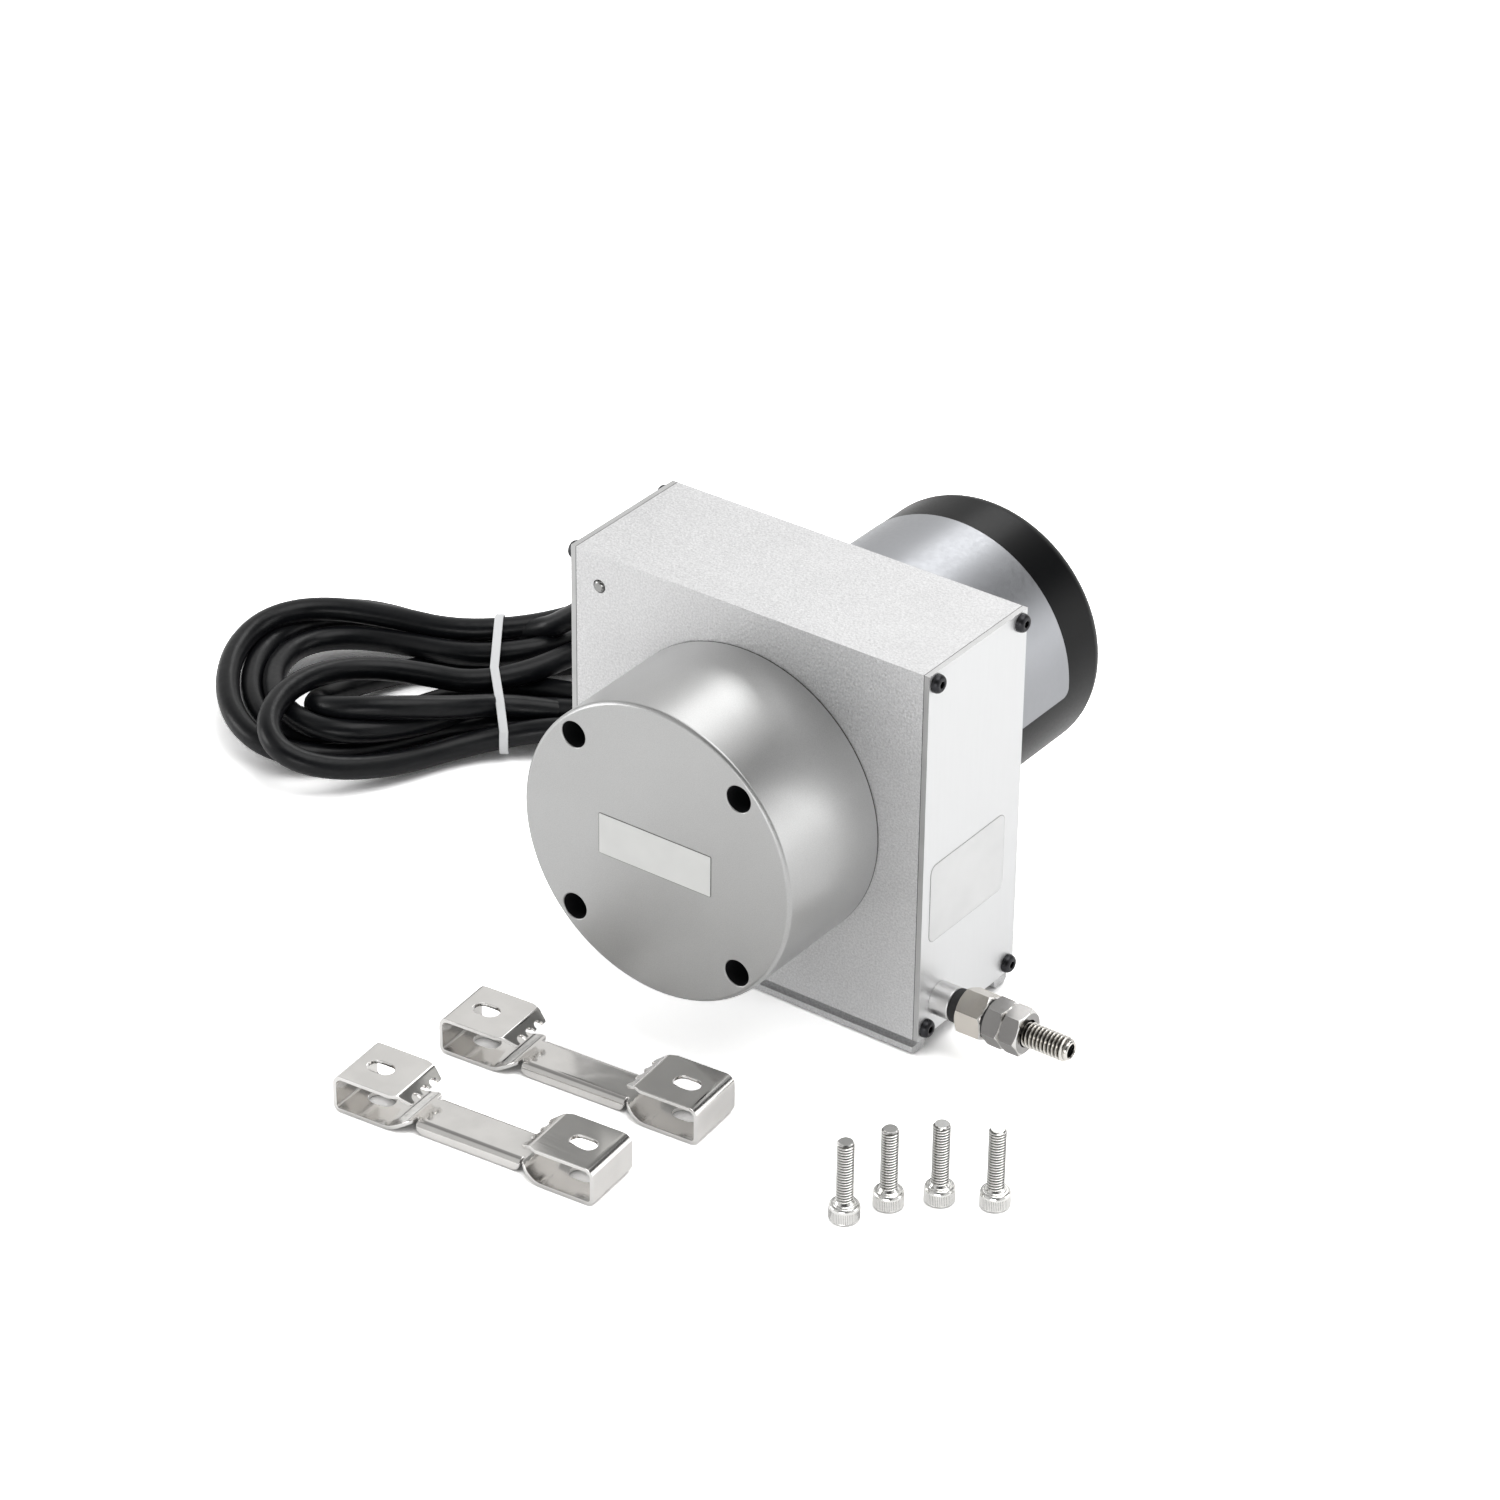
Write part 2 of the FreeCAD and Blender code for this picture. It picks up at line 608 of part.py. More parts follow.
rim_in = groove_radius - D["drum_rim"]
width = D["drum_groove"] + D["drum_flange"] * 2
web_a = (width - D["drum_web"]) / 2
web_b = (width + D["drum_web"]) / 2
hub_r = D["drum_hub_radius"]
drum = turned("wire_drum", [
    (bore, 0), (hub_r, 0), (hub_r, web_a), (rim_in, web_a), (rim_in, 0), (flange_r, 0),
    (flange_r, D["drum_flange"]), (groove_radius, D["drum_flange"]),
    (groove_radius, width - D["drum_flange"]), (flange_r, width - D["drum_flange"]),
    (flange_r, width), (rim_in, width), (rim_in, web_b), (hub_r, web_b),
    (hub_r, D["drum_hub_length"]), (bore, D["drum_hub_length"])], (0, drum_front, axis_z), REAR_Y)
web_holes = []
count = int(D["web_hole_count"].value)
for i in range(count):
    a = 2 * math.pi * i / count
    web_holes.append(((D["web_hole_circle"] * math.cos(a), D["web_hole_circle"] * math.sin(a)),
                      D["web_hole_radius"]))
drilled(drum, "web_holes", web_holes, D["drum_web"], web_b)
node("wire_drum", drum)

wound = D["wire_pitch"] * D["wire_turns"]
winding = turned("wire_winding", [
    (groove_radius, 0), (wind_radius, 0), (wind_radius, wound), (groove_radius, wound)],
    (0, wire_y - wound / 2, axis_z), REAR_Y)
node("wire_winding", winding)

spacer_low = drum_front + D["drum_hub_length"]
spacer_high = rear_in - D["carrier_thickness"]
spacer = turned("shaft_spacer", [
    (bore, 0), (D["shaft_radius"] + 1.1, 0), (D["shaft_radius"] + 1.1, spacer_high - spacer_low),
    (bore, spacer_high - spacer_low)], (0, spacer_low, axis_z), REAR_Y)
node("shaft_spacer", spacer)

# ---- bearings

inner_r = D["shaft_radius"] + D["bearing_ring"]
outer_r = D["bearing_outer"] - D["bearing_ring"]
ball_r = (outer_r - inner_r) / 2 - 0.02
ball_c = (outer_r + inner_r) / 2
stations = (spring_front + D["spring_skin"], rear_in - D["carrier_thickness"])
inner_rings = []
outer_rings = []
balls = []
for k, y in enumerate(stations):
    inner_rings.append(turned("bearing_inner_%d" % k, [
        (bore, 0), (inner_r, 0), (inner_r, D["bearing_width"]), (bore, D["bearing_width"])],
        (0, y, axis_z), REAR_Y))
    outer_rings.append(turned("bearing_outer_%d" % k, [
        (outer_r, 0), (D["bearing_outer"], 0), (D["bearing_outer"], D["bearing_width"]),
        (outer_r, D["bearing_width"])], (0, y, axis_z), REAR_Y))
    count = int(D["ball_count"].value)
    for i in range(count):
        a = 2 * math.pi * i / count
        balls.append(turned("ball_%d_%d" % (k, i), [
            (0, -ball_r), (ball_r * 0.7, -ball_r * 0.7), (ball_r, 0), (ball_r * 0.7, ball_r * 0.7), (0, ball_r)],
            (ball_c * math.cos(a), y + D["bearing_width"] / 2, axis_z + ball_c * math.sin(a)), REAR_Y))
node("bearing_inner_rings", group("Compound", "bearing_inner_rings", inner_rings))
node("bearing_outer_rings", group("Compound", "bearing_outer_rings", outer_rings))
node("bearing_balls", group("Compound", "bearing_balls", balls))

carrier = turned("bearing_carrier", [
    (seat, 0), (D["carrier_radius"], 0), (D["carrier_radius"], D["carrier_thickness"]),
    (D["bearing_outer"] - D["bearing_ring"], D["carrier_thickness"]),
    (D["bearing_outer"] - D["bearing_ring"], D["bearing_width"]), (seat, D["bearing_width"])],
    (0, rear_in - D["carrier_thickness"], axis_z), REAR_Y)
around = []
for angle in CARRIER_ANGLES:
    c = math.cos(math.radians(angle))
    s = math.sin(math.radians(angle))
    around.append((D["carrier_screw_circle"] * c, D["carrier_screw_circle"] * s))
holes = []
for x, z in around:
    holes.append(((x, -z), D["screw_radius"] + D["screw_play"]))
drilled(carrier, "carrier_holes", holes, D["carrier_thickness"], D["carrier_thickness"])
node("bearing_carrier", carrier)

made = []
for x, z in around:
    made.append(screw("carrier_screw_%d" % (len(made) + 1), D["screw_radius"],
                      D["carrier_thickness"] + D["face_wall"] + D["flange_thickness"] - 0.5,
                      D["screw_head_radius"], D["screw_head_height"],
                      (x, rear_in - D["carrier_thickness"], axis_z + z), REAR_Y))
node("carrier_screws", group("Compound", "carrier_screws", made))

# ---- encoder on the rear face

pilot_low = D["face_wall"] - 0.1
flange = turned("encoder_flange", [
    (D["bearing_outer"] + 2, 0), (D["pilot_radius"], 0), (D["pilot_radius"], pilot_low),
    (D["cap_radius"] - D["cap_wall"] - 0.1, pilot_low),
    (D["cap_radius"] - D["cap_wall"] - 0.1, pilot_low + D["flange_thickness"]),
    (D["bearing_outer"] + 2, pilot_low + D["flange_thickness"])],
    (0, half_d - pilot_low, axis_z), REAR_Y)
holes = []
for x, z in around:
    holes.append(((x, -z), D["screw_radius"] + D["thread_play"]))
drilled(flange, "flange_holes", holes, D["flange_thickness"], pilot_low + D["flange_thickness"])
node("encoder_flange", flange)

cap_low = half_d + D["cap_gap"]
cap = turned("cap_shell", [
    (D["cap_radius"] - D["cap_wall"], 0), (D["cap_radius"], 0), (D["cap_radius"], D["cap_length"]),
    (0, D["cap_length"]), (0, D["cap_length"] - D["cap_face"]),
    (D["cap_radius"] - D["cap_wall"], D["cap_length"] - D["cap_face"])], (0, cap_low, axis_z), REAR_Y)
cap_len = D["cap_length"].value
cap_rad = D["cap_radius"].value
rounded(cap, D["cap_edge"], lambda e: isinstance(e.Curve, Part.Circle)
        and abs(e.Curve.Radius - cap_rad) < 0.01 and abs(e.Curve.Center.z - cap_len) < 0.01)
pad_out = D["cap_radius"] + 2.3
pad_in = D["cap_radius"] - D["cap_wall"] - 1.2
cap_pad = rod("cap_pad", D["gland_pad"], pad_out - pad_in, (-pad_in, D["gland_place"], axis_z), BACK_X)
cap_body = group("MultiFuse", "cap_body", [cap, cap_pad])
cap_cuts = [rod("gland_hole", D["gland_thread"] + 0.1, 14, (-pad_in + 4, D["gland_place"], axis_z), BACK_X)]
POST_ANGLES = (30, 150, 270)
posts = []
for angle in POST_ANGLES:
    c = math.cos(math.radians(angle))
    s = math.sin(math.radians(angle))
    posts.append((D["post_circle"] * c, D["post_circle"] * s))
for i, (x, z) in enumerate(posts):
    cap_cuts.append(rod("cap_screw_hole_%d" % i, D["cover_screw_radius"] + D["screw_play"], 6,
                        (x, cap_low + D["cap_length"] + 1, axis_z + z), FRONT_Y))
node("encoder_cap", minus("encoder_cap", cap_body, cap_cuts))

made = []
for x, z in posts:
    made.append(screw("cap_screw_%d" % (len(made) + 1), D["cover_screw_radius"],
                      D["cover_screw_length"], D["cover_head_radius"], D["cover_head_height"],
                      (x, cap_low + D["cap_length"], axis_z + z), FRONT_Y))
node("cap_screws", group("Compound", "cap_screws", made))

flange_back = half_d + D["flange_thickness"]
made = []
for x, z in posts:
    made.append(rod("board_post_%d" % len(made), D["post_radius"], D["board_place"] - flange_back,
                    (x, flange_back, axis_z + z), REAR_Y))
node("board_posts", group("Compound", "board_posts", made))

board_back = D["board_place"] + D["board_thickness"]
post_len = cap_low + D["cap_length"] - D["cap_face"] - board_back
made = []
for x, z in posts:
    made.append(turned("cap_post_%d" % len(made), [
        (0, 0), (D["post_radius"], 0), (D["post_radius"], post_len), (tapped, post_len),
        (tapped, post_len - 7), (0, post_len - 7)], (x, board_back, axis_z + z), REAR_Y))
node("cap_posts", group("Compound", "cap_posts", made))

board = turned("encoder_board", [
    (0, 0), (D["board_radius"], 0), (D["board_radius"], D["board_thickness"]), (0, D["board_thickness"])],
    (0, D["board_place"], axis_z), REAR_Y)
node("encoder_board", board)

disc = turned("code_disc", [
    (bore, 0), (D["disc_radius"], 0), (D["disc_radius"], D["disc_thickness"]), (bore, D["disc_thickness"])],
    (0, D["disc_place"], axis_z), REAR_Y)
node("code_disc", disc)

hub_low = D["disc_place"] - 4
hub = turned("disc_hub", [
    (bore, 0), (7.0, 0), (7.0, D["disc_place"] - hub_low), (bore, D["disc_place"] - hub_low)],
    (0, hub_low, axis_z), REAR_Y)
node("disc_hub", hub)

head_low = D["disc_place"] + D["disc_thickness"] + 0.6
node("read_head", brick("read_head", (10, D["board_place"] - head_low, 7),
                        (-5, head_low, axis_z + D["disc_radius"] - 8)))
node("light_block", brick("light_block", (8, D["disc_place"] - 0.6 - flange_back, 6),
                          (-4, flange_back, axis_z + D["disc_radius"] - 7.5)))

# ---- cable gland on the side of the cap that the box hides

gland_r = D["gland_flats"] / math.sqrt(3)
gland_body_hex = hexagon("gland_hex", D["gland_flats"], 4.5, (-pad_out, D["gland_place"], axis_z), BACK_X)
gland_core = turned("gland_core", [
    (D["cable_diameter"] / 2, -8.2), (D["gland_thread"], -8.2), (D["gland_thread"], 9.5),
    (D["cable_diameter"] / 2, 9.5)], (-pad_out, D["gland_place"], axis_z), BACK_X)
gland_blank = group("MultiFuse", "gland_blank", [gland_body_hex, gland_core])
gland_bore = rod("gland_bore", D["cable_diameter"] / 2, 20, (-pad_out + 9, D["gland_place"], axis_z), BACK_X)
node("gland_body", minus("gland_body", gland_blank, [gland_bore]))

node("gland_lock_nut", minus(
    "gland_lock_nut", hexagon("gland_nut_hex", D["gland_flats"], 2.2,
                              (-pad_in + 2.2, D["gland_place"], axis_z), BACK_X),
    [rod("gland_nut_bore", D["gland_thread"] + D["thread_play"], 4,
         (-pad_in + 3, D["gland_place"], axis_z), BACK_X)]))

gland_tip = pad_out + 4.6 + 10.4
gland_cap = turned("gland_cap", [
    (D["gland_thread"] + D["thread_play"], 0), (gland_r * 0.93, 0), (gland_r * 0.93, 6.0),
    (D["cable_diameter"] / 2 + 1.6, 10.4), (D["cable_diameter"] / 2, 10.4),
    (D["cable_diameter"] / 2, 5.4), (D["gland_thread"] + D["thread_play"], 5.4)],
    (-pad_out - 4.6, D["gland_place"], axis_z), BACK_X)
node("gland_cap", gland_cap)

# ---- wire outlet in the right end cover

inner_spigot = D["cover_thickness"] + D["bush_inside"]
bush = turned("outlet_bush", [
    (D["guide_radius"], -inner_spigot), (D["bush_thread"], -inner_spigot), (D["bush_thread"], 0),
    (D["bush_radius"], 0), (D["bush_radius"], D["bush_length"] - 0.25),
    (D["bush_radius"] - 0.25, D["bush_length"]), (D["guide_radius"], D["bush_length"])],
    (cover_out, wire_y, wire_z), ALONG_X)
node("outlet_bush", bush)

ring_bore = D["bush_thread"] + D["thread_play"]
ring = turned("bush_ring_nut", [
    (ring_bore, 0), (D["ring_nut_radius"], 0), (D["ring_nut_radius"], D["ring_nut"]),
    (ring_bore, D["ring_nut"])], (half_w - D["ring_nut"], wire_y, wire_z), ALONG_X)
node("bush_ring_nut", ring)

guide_len = inner_spigot + D["bush_length"]
guide = turned("wire_guide", [
    (D["guide_bore"] + 0.6, 0), (D["guide_radius"] - D["seat_play"], 0),
    (D["guide_radius"] - D["seat_play"], guide_len), (D["guide_bore"] + 0.4, guide_len),
    (D["guide_bore"], guide_len - 0.6), (D["guide_bore"], 0.8)],
    (cover_out - inner_spigot, wire_y, wire_z), ALONG_X)
node("wire_guide", guide)

buffer_at = cover_out + D["bush_length"]
rubber = turned("rubber_buffer", [
    (D["buffer_bore"], 0), (D["bush_radius"] - 0.1, 0), (D["bush_radius"] + 0.05, 0.3),
    (D["bush_radius"] + 0.05, D["buffer_length"]), (D["buffer_bore"], D["buffer_length"])],
    (buffer_at, wire_y, wire_z), ALONG_X)
node("rubber_buffer", rubber)

# ---- wire end: crimp, hollow pull stud, washer and lock nuts

stud_at = buffer_at + D["buffer_length"] + D["rest_gap"]
hex_turn = Rotation(Vector(1, 0, 0), 35) * ALONG_X
nut_turn = Rotation(Vector(1, 0, 0), 3) * ALONG_X
corner = D["stud_flats"] / math.sqrt(3)
half_flat = D["stud_flats"] / 2


def hex_piece(name, length, x, turn, hole, extra=None):
    """A hexagon with turned corners at both ends, and a bore."""
    block = hexagon(name + "_block", D["stud_flats"], length, (x, wire_y, wire_z), turn)
    lathe = turned(name + "_lathe", [
        (0, 0), (half_flat * 0.97, 0), (corner + 0.02, 0.55), (corner + 0.02, length - 0.55),
        (half_flat * 0.97, length), (0, length)], (x, wire_y, wire_z), ALONG_X)
    shaped = group("MultiCommon", name + "_shaped", [block, lathe])
    if extra is not None:
        shaped = group("MultiFuse", name + "_joined", [shaped, extra])
    return minus(name, shaped, hole)


nuts_end = D["stud_hex_length"] + D["washer_thickness"] + D["nut_length"] * 2
stud_end = D["stud_hex_length"] + D["stud_length"]
stud_tip = D["stud_radius"] - D["stud_core"] + D["stud_wire_hole"]
stud_rod = turned("stud_rod", [
    (0, D["stud_hex_length"] - 1), (D["stud_core"], D["stud_hex_length"] - 1),
    (D["stud_core"], nuts_end), (D["stud_radius"], nuts_end), (D["stud_radius"], stud_end - stud_tip),
    (D["stud_radius"] - stud_tip, stud_end), (0, stud_end)], (stud_at, wire_y, wire_z), ALONG_X)
stud_cuts = [rod("stud_hollow", D["stud_bore"], D["stud_hex_length"] + D["stud_length"],
                 (stud_at + D["stud_floor"], wire_y, wire_z), ALONG_X),
             rod("stud_wire_way", D["stud_wire_hole"], D["stud_floor"] + 2,
                 (stud_at - 1, wire_y, wire_z), ALONG_X)]
node("pull_stud", hex_piece("pull_stud", D["stud_hex_length"], stud_at, hex_turn, stud_cuts, stud_rod))

washer_at = stud_at + D["stud_hex_length"]
washer = turned("stud_washer", [
    (D["stud_core"] + D["screw_play"], 0), (half_flat * 0.94, 0),
    (half_flat * 0.94, D["washer_thickness"]), (D["stud_core"] + D["screw_play"], D["washer_thickness"])],
    (washer_at, wire_y, wire_z), ALONG_X)
node("stud_washer", washer)

nuts = []
for i in range(2):
    x = washer_at + D["washer_thickness"] + D["nut_length"] * i
    nuts.append(hex_piece("lock_nut_%d" % (i + 1), D["nut_length"], x, nut_turn,
                          [rod("nut_bore_%d" % i, D["stud_core"] + D["thread_play"],
                               D["nut_length"] + 2, (x - 1, wire_y, wire_z), ALONG_X)]))
node("lock_nuts", group("Compound", "lock_nuts", nuts))

crimp_at = stud_at + D["stud_floor"] + 0.05
crimp = turned("wire_crimp", [
    (D["wire_diameter"] / 2, 0), (D["crimp_radius"], 0), (D["crimp_radius"], D["crimp_length"]),
    (D["wire_diameter"] / 2, D["crimp_length"])], (crimp_at, wire_y, wire_z), ALONG_X)
node("wire_crimp", crimp)

wire = rod("wire_run", D["wire_diameter"] / 2,
           crimp_at + D["crimp_length"] - D["wire_seat"] - D["wire_lead_off"],
           (D["wire_lead_off"], wire_y, wire_z), ALONG_X)
node("wire_run", wire)

# ---- mounting clamps, as they lie beside the encoder

CLAMPS = [("mounting_clamp_near", -9.60, -102.53, 4.76), ("mounting_clamp_far", -5.15, -71.01, 4.58)]
cw = D["clamp_width"] / 2
ch = D["clamp_height"]
ct = D["clamp_sheet"]
cl = D["clamp_half"]
st = D["clamp_strip_top"]
sw = D["clamp_strip_half"]
lip_low = ch - D["clamp_lip_drop"]


def clamp(name, x, y, angle):
    turn = Rotation(Vector(0, 0, 1), angle)
    right_side = [
        (D["clamp_grip"] - 0.7, st - ct), (D["clamp_ramp"], 0), (cl, 0), (cl, ch), (D["clamp_lip"], ch),
        (D["clamp_grip"], lip_low), (D["clamp_grip"] + 0.2, lip_low - ct * 1.15),
        (D["clamp_lip"] + 0.3, ch - ct), (cl - ct, ch - ct), (cl - ct, ct), (D["clamp_ramp"] + 0.2, ct),
        (D["clamp_grip"] - 0.4, st)]
    left_side = [(-px, pz) for px, pz in reversed(right_side)]
    body = new_body(name + "_strip")
    sketch = new_sketch(body, name + "_bends", "XZ_Plane", -cw)
    polygon(sketch, right_side + left_side)
    feature = body.newObject("PartDesign::Pad", name + "_pad")
    feature.Profile = sketch
    bind(feature, "Length", D["clamp_width"])
    rounded(body, 1.3, lambda e: abs(abs(e.CenterOfMass.x) - cl.value) < 0.01
            and (abs(e.CenterOfMass.z) < 0.01 or abs(e.CenterOfMass.z - ch.value) < 0.01)
            and abs(e.CenterOfMass.y) < 0.01)
    rounded(body, 0.5, lambda e: abs(abs(e.CenterOfMass.x) - (cl - ct).value) < 0.01
            and abs(e.CenterOfMass.y) < 0.01 and e.Length > 5
            and (abs(e.CenterOfMass.z - ct.value) < 0.01 or abs(e.CenterOfMass.z - (ch - ct).value) < 0.01))
    quarter = [(cl + 1, cw), (D["clamp_ramp"] - 0.2, cw), (D["clamp_grip"], sw)]
    outline = quarter + [(-px, py) for px, py in reversed(quarter)]
    outline = outline + [(-px, -py) for px, py in quarter] + [(px, -py) for px, py in reversed(quarter)]
    form = padded(name + "_form", outline, ch + 2, (0, 0, -1))
    sheet_piece = group("MultiCommon", name + "_sheet", [body, form])
    fold = []
    for sy in (-1, 1):
        fold.append(padded(name + "_fold_%d" % (sy + 1), [
            (-13.8, st - ct - 0.15), (-12.4, 0.15), (12.4, 0.15), (13.8, st - ct - 0.15),
            (13.8, st), (-13.8, st)], ct, (0, sw if sy > 0 else -sw + ct, 0), FRONT_Y))
    blank = group("MultiFuse", name + "_blank", [sheet_piece] + fold)
    tools = []
    for sx in (-1, 1):
        a = D["slot_place"] * sx - D["slot_travel"] / 2
        b = D["slot_place"] * sx + D["slot_travel"] / 2
        tools.append(brick(name + "_slot_mid", (D["slot_travel"], D["slot_radius"] * 2, ch + 2),
                           (a, -D["slot_radius"], -1)))
        tools.append(rod(name + "_slot_a", D["slot_radius"], ch + 2, (a, 0, -1)))
        tools.append(rod(name + "_slot_b", D["slot_radius"], ch + 2, (b, 0, -1)))
        for k in (-1, 0, 1):
            tools.append(rod(name + "_notch", D["tooth_radius"], ch - st - 1,
                             (D["clamp_grip"] * sx, D["tooth_pitch"] * k, st + 1)))
    piece = minus(name, blank, tools)
    piece.Placement = Placement(Vector(x, y, 0), turn)
    return piece


for name, x, y, angle in CLAMPS:
    node(name, clamp(name, x, y, angle))

SCREWS = [(70.28, -77.99), (75.13, -68.38), (82.93, -60.24), (93.53, -54.55)]
made = []
head = D["mount_head_height"]
for x, y in SCREWS:
    blank = turned("clamp_screw_blank_%d" % len(made), [
        (0, 0), (D["mount_head_radius"], 0), (D["mount_head_radius"], head), (D["mount_screw_radius"], head),
        (D["mount_screw_radius"], head + D["mount_screw_length"] - 0.5),
        (D["mount_screw_radius"] - 0.5, head + D["mount_screw_length"]),
        (0, head + D["mount_screw_length"])], (x, y, 0))
    socket = hexagon("clamp_screw_socket_%d" % len(made), D["mount_socket"] * 2, 3.0, (x, y, -1.0))
    made.append(minus("clamp_screw_%d" % (len(made) + 1), blank, [socket]))
node("clamp_screws", group("Compound", "clamp_screws", made))

# ---- cable: lead from the gland, hank on the floor, tie, bared end

LEAD = [(0, 0, 0), (-13, 0, -0.6), (-27, 0.3, -5.2), (-41, 1.2, -13.5), (-54, 2.2, -24), (-65, 3.2, -33.5),
        (-74, 3.2, -40.5), (-80.5, 0.9, -43.9)]


def tube_along(points, radius):
    """Straight runs joined by tangent arcs, with a round section; prints each arc's radius."""
    edges = []
    start = points[0]
    length = 0.0
    for i in range(1, len(points) - 1):
        p, q, r = points[i - 1], points[i], points[i + 1]
        a = p - q
        b = r - q
        la, lb = a.Length, b.Length
        a.normalize()
        b.normalize()
        half = (math.pi - a.getAngle(b)) / 2
        reach = 0.45 * min(la, lb)
        bend = reach / math.tan(half)
        print("cable bend radius %.1f at point %d, turn %.0f deg" % (bend, i, math.degrees(half * 2)))
        t1 = q + a * reach
        t2 = q + b * reach
        middle = q + (a + b).normalize() * (bend / math.cos(half) - bend)
        edges.append(Part.LineSegment(start, t1).toShape())
        edges.append(Part.Arc(t1, middle, t2).toShape())
        start = t2
    edges.append(Part.LineSegment(start, points[-1]).toShape())
    for edge in edges:
        length += edge.Length
    path = Part.Wire(edges)
    section = Part.Wire(Part.Circle(points[0], points[1] - points[0], radius).toShape())
    tube = path.makePipeShell([section], True, True)
    error = abs(tube.Volume / (math.pi * radius ** 2 * length) - 1)
    print("cable tube length %.1f, volume error %.4f" % (length, error))
    if error > 0.01:
        raise RuntimeError("the cable tube is wrong")
    return tube


lead_from = Vector(-gland_tip.value, D["gland_place"].value, axis_z.value)
lead = doc.addObject("Part::Feature", "cable_lead")
lead.Shape = tube_along([lead_from + Vector(*p) for p in LEAD], D["cable_diameter"].value / 2)
node("cable_lead", lead)

HANK_AT = (-125.3, 49.3)
HANK_TURN = Rotation(Vector(0, 0, 1), 35.8)
HANK_OUTLINE = [(-71, -18), (-62, -38), (-42, -46), (-2, -1), (2, -1), (44, -40), (64, -32), (73, -4), (64, 26),
                (42, 34), (2, 1), (-2, 1), (-40, 32), (-60, 28), (-71, 8)]
near = D["hank_near"]
far = D["hank_far"]


def hank_point(point):
    """The points with a side of one lie on the waist under the tie."""
    side = {-1: -near, 1: far}
    return (point[0], side.get(point[1], point[1]))


hank = padded("hank_lobes", [hank_point(q) for q in HANK_OUTLINE], D["hank_height"],
              (HANK_AT[0], HANK_AT[1], 0), HANK_TURN)
strap = D["tie_thickness"]
slack = D["tie_slack"]
dip = padded("hank_dip", [(-8, -60), (8, -60), (8, 60), (-8, 60)], D["hank_height"],
             (HANK_AT[0], HANK_AT[1], D["hank_waist"] + strap), HANK_TURN)


def tie_ring(name, spare, width):
    """A square loop across the waist; spare is left free inside and out."""
    low = -near - slack + spare
    high = far + slack - spare
    top = strap + slack + D["hank_waist"] - spare
    outside = padded(name + "_outside", [
        (low - strap - spare * 2, 0), (high + strap + spare * 2, 0),
        (high + strap + spare * 2, top + strap + spare * 2), (low - strap - spare * 2, top + strap + spare * 2)],
        width, (0, 0, 0), ALONG_X)
    inside = padded(name + "_inside", [(low, strap + spare), (high, strap + spare), (high, top), (low, top)],
                    width + 2, (-1, 0, 0), ALONG_X)
    ring = group("Cut", name, [outside, inside])
    ring.Placement = Placement(HANK_TURN.multVec(Vector(-value_of(width) / 2, 0, 0))
                               + Vector(HANK_AT[0], HANK_AT[1], 0), HANK_TURN)
    return ring


room = tie_ring("tie_room", slack, D["tie_width"] + slack * 2)
node("cable_hank", minus("cable_hank", hank, [dip, room]))
node("cable_tie", tie_ring("cable_tie", as_size(0), D["tie_width"]))

END_AT = (72.6, -4.0, 3.0)
cores = []
for i in range(5):
    spread = (i - 2) * 5.0
    core = rod("core_%d" % i, 0.6, 26 - abs(i - 2) * 1.5,
               (HANK_AT[0], HANK_AT[1], 0), Rotation(Vector(0, 0, 1), 35.8 + spread)
               * Rotation(Vector(0, 1, 0), 90))
    start = HANK_TURN.multVec(Vector(END_AT[0] + 1.0, END_AT[1] + (i - 2) * 1.3, 0))
    core.Placement.Base = Vector(HANK_AT[0] + start.x, HANK_AT[1] + start.y, END_AT[2] - 2.3)
    cores.append(core)
node("cable_cores", group("Compound", "cable_cores", cores))

# ---- check every object, then write each sub-part

doc.recompute()
bad = []
for obj in doc.Objects:
    if any(word in obj.State for word in ("Invalid", "Error")):
        bad.append("%s %s" % (obj.Name, obj.State))
for name, obj in NODES.items():
    shape = obj.Shape
    if shape.isNull() or not shape.isValid() or not shape.Solids:
        bad.append("%s has no valid solid" % name)
if bad:
    raise RuntimeError("; ".join(bad))
os.makedirs("parts", exist_ok=True)
for name, obj in NODES.items():
    shape = obj.Shape
    shape.exportStep(os.path.join("parts", name + ".step"))
    box = shape.BoundBox
    print("%-24s solids %2d vol %10.1f  x %.2f..%.2f y %.2f..%.2f z %.2f..%.2f" % (
        name, len(shape.Solids), shape.Volume, box.XMin, box.XMax, box.YMin, box.YMax, box.ZMin, box.ZMax))
print("%d nodes" % len(NODES))
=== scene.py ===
import json
import math

import bmesh
import bpy
from mathutils import Matrix, Vector


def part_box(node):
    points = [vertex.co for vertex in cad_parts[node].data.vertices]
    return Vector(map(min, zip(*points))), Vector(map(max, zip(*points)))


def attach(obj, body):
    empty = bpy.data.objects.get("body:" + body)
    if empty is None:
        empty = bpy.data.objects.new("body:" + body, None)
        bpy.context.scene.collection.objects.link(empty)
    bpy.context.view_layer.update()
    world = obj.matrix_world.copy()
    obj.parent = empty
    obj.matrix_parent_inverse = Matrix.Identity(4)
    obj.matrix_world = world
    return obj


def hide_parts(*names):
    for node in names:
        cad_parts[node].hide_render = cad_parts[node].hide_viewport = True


# Draw wire encoder. Every length is in metres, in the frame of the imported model:
# +X along the pulled wire, +Y from the spring drum to the encoder, +Z up.

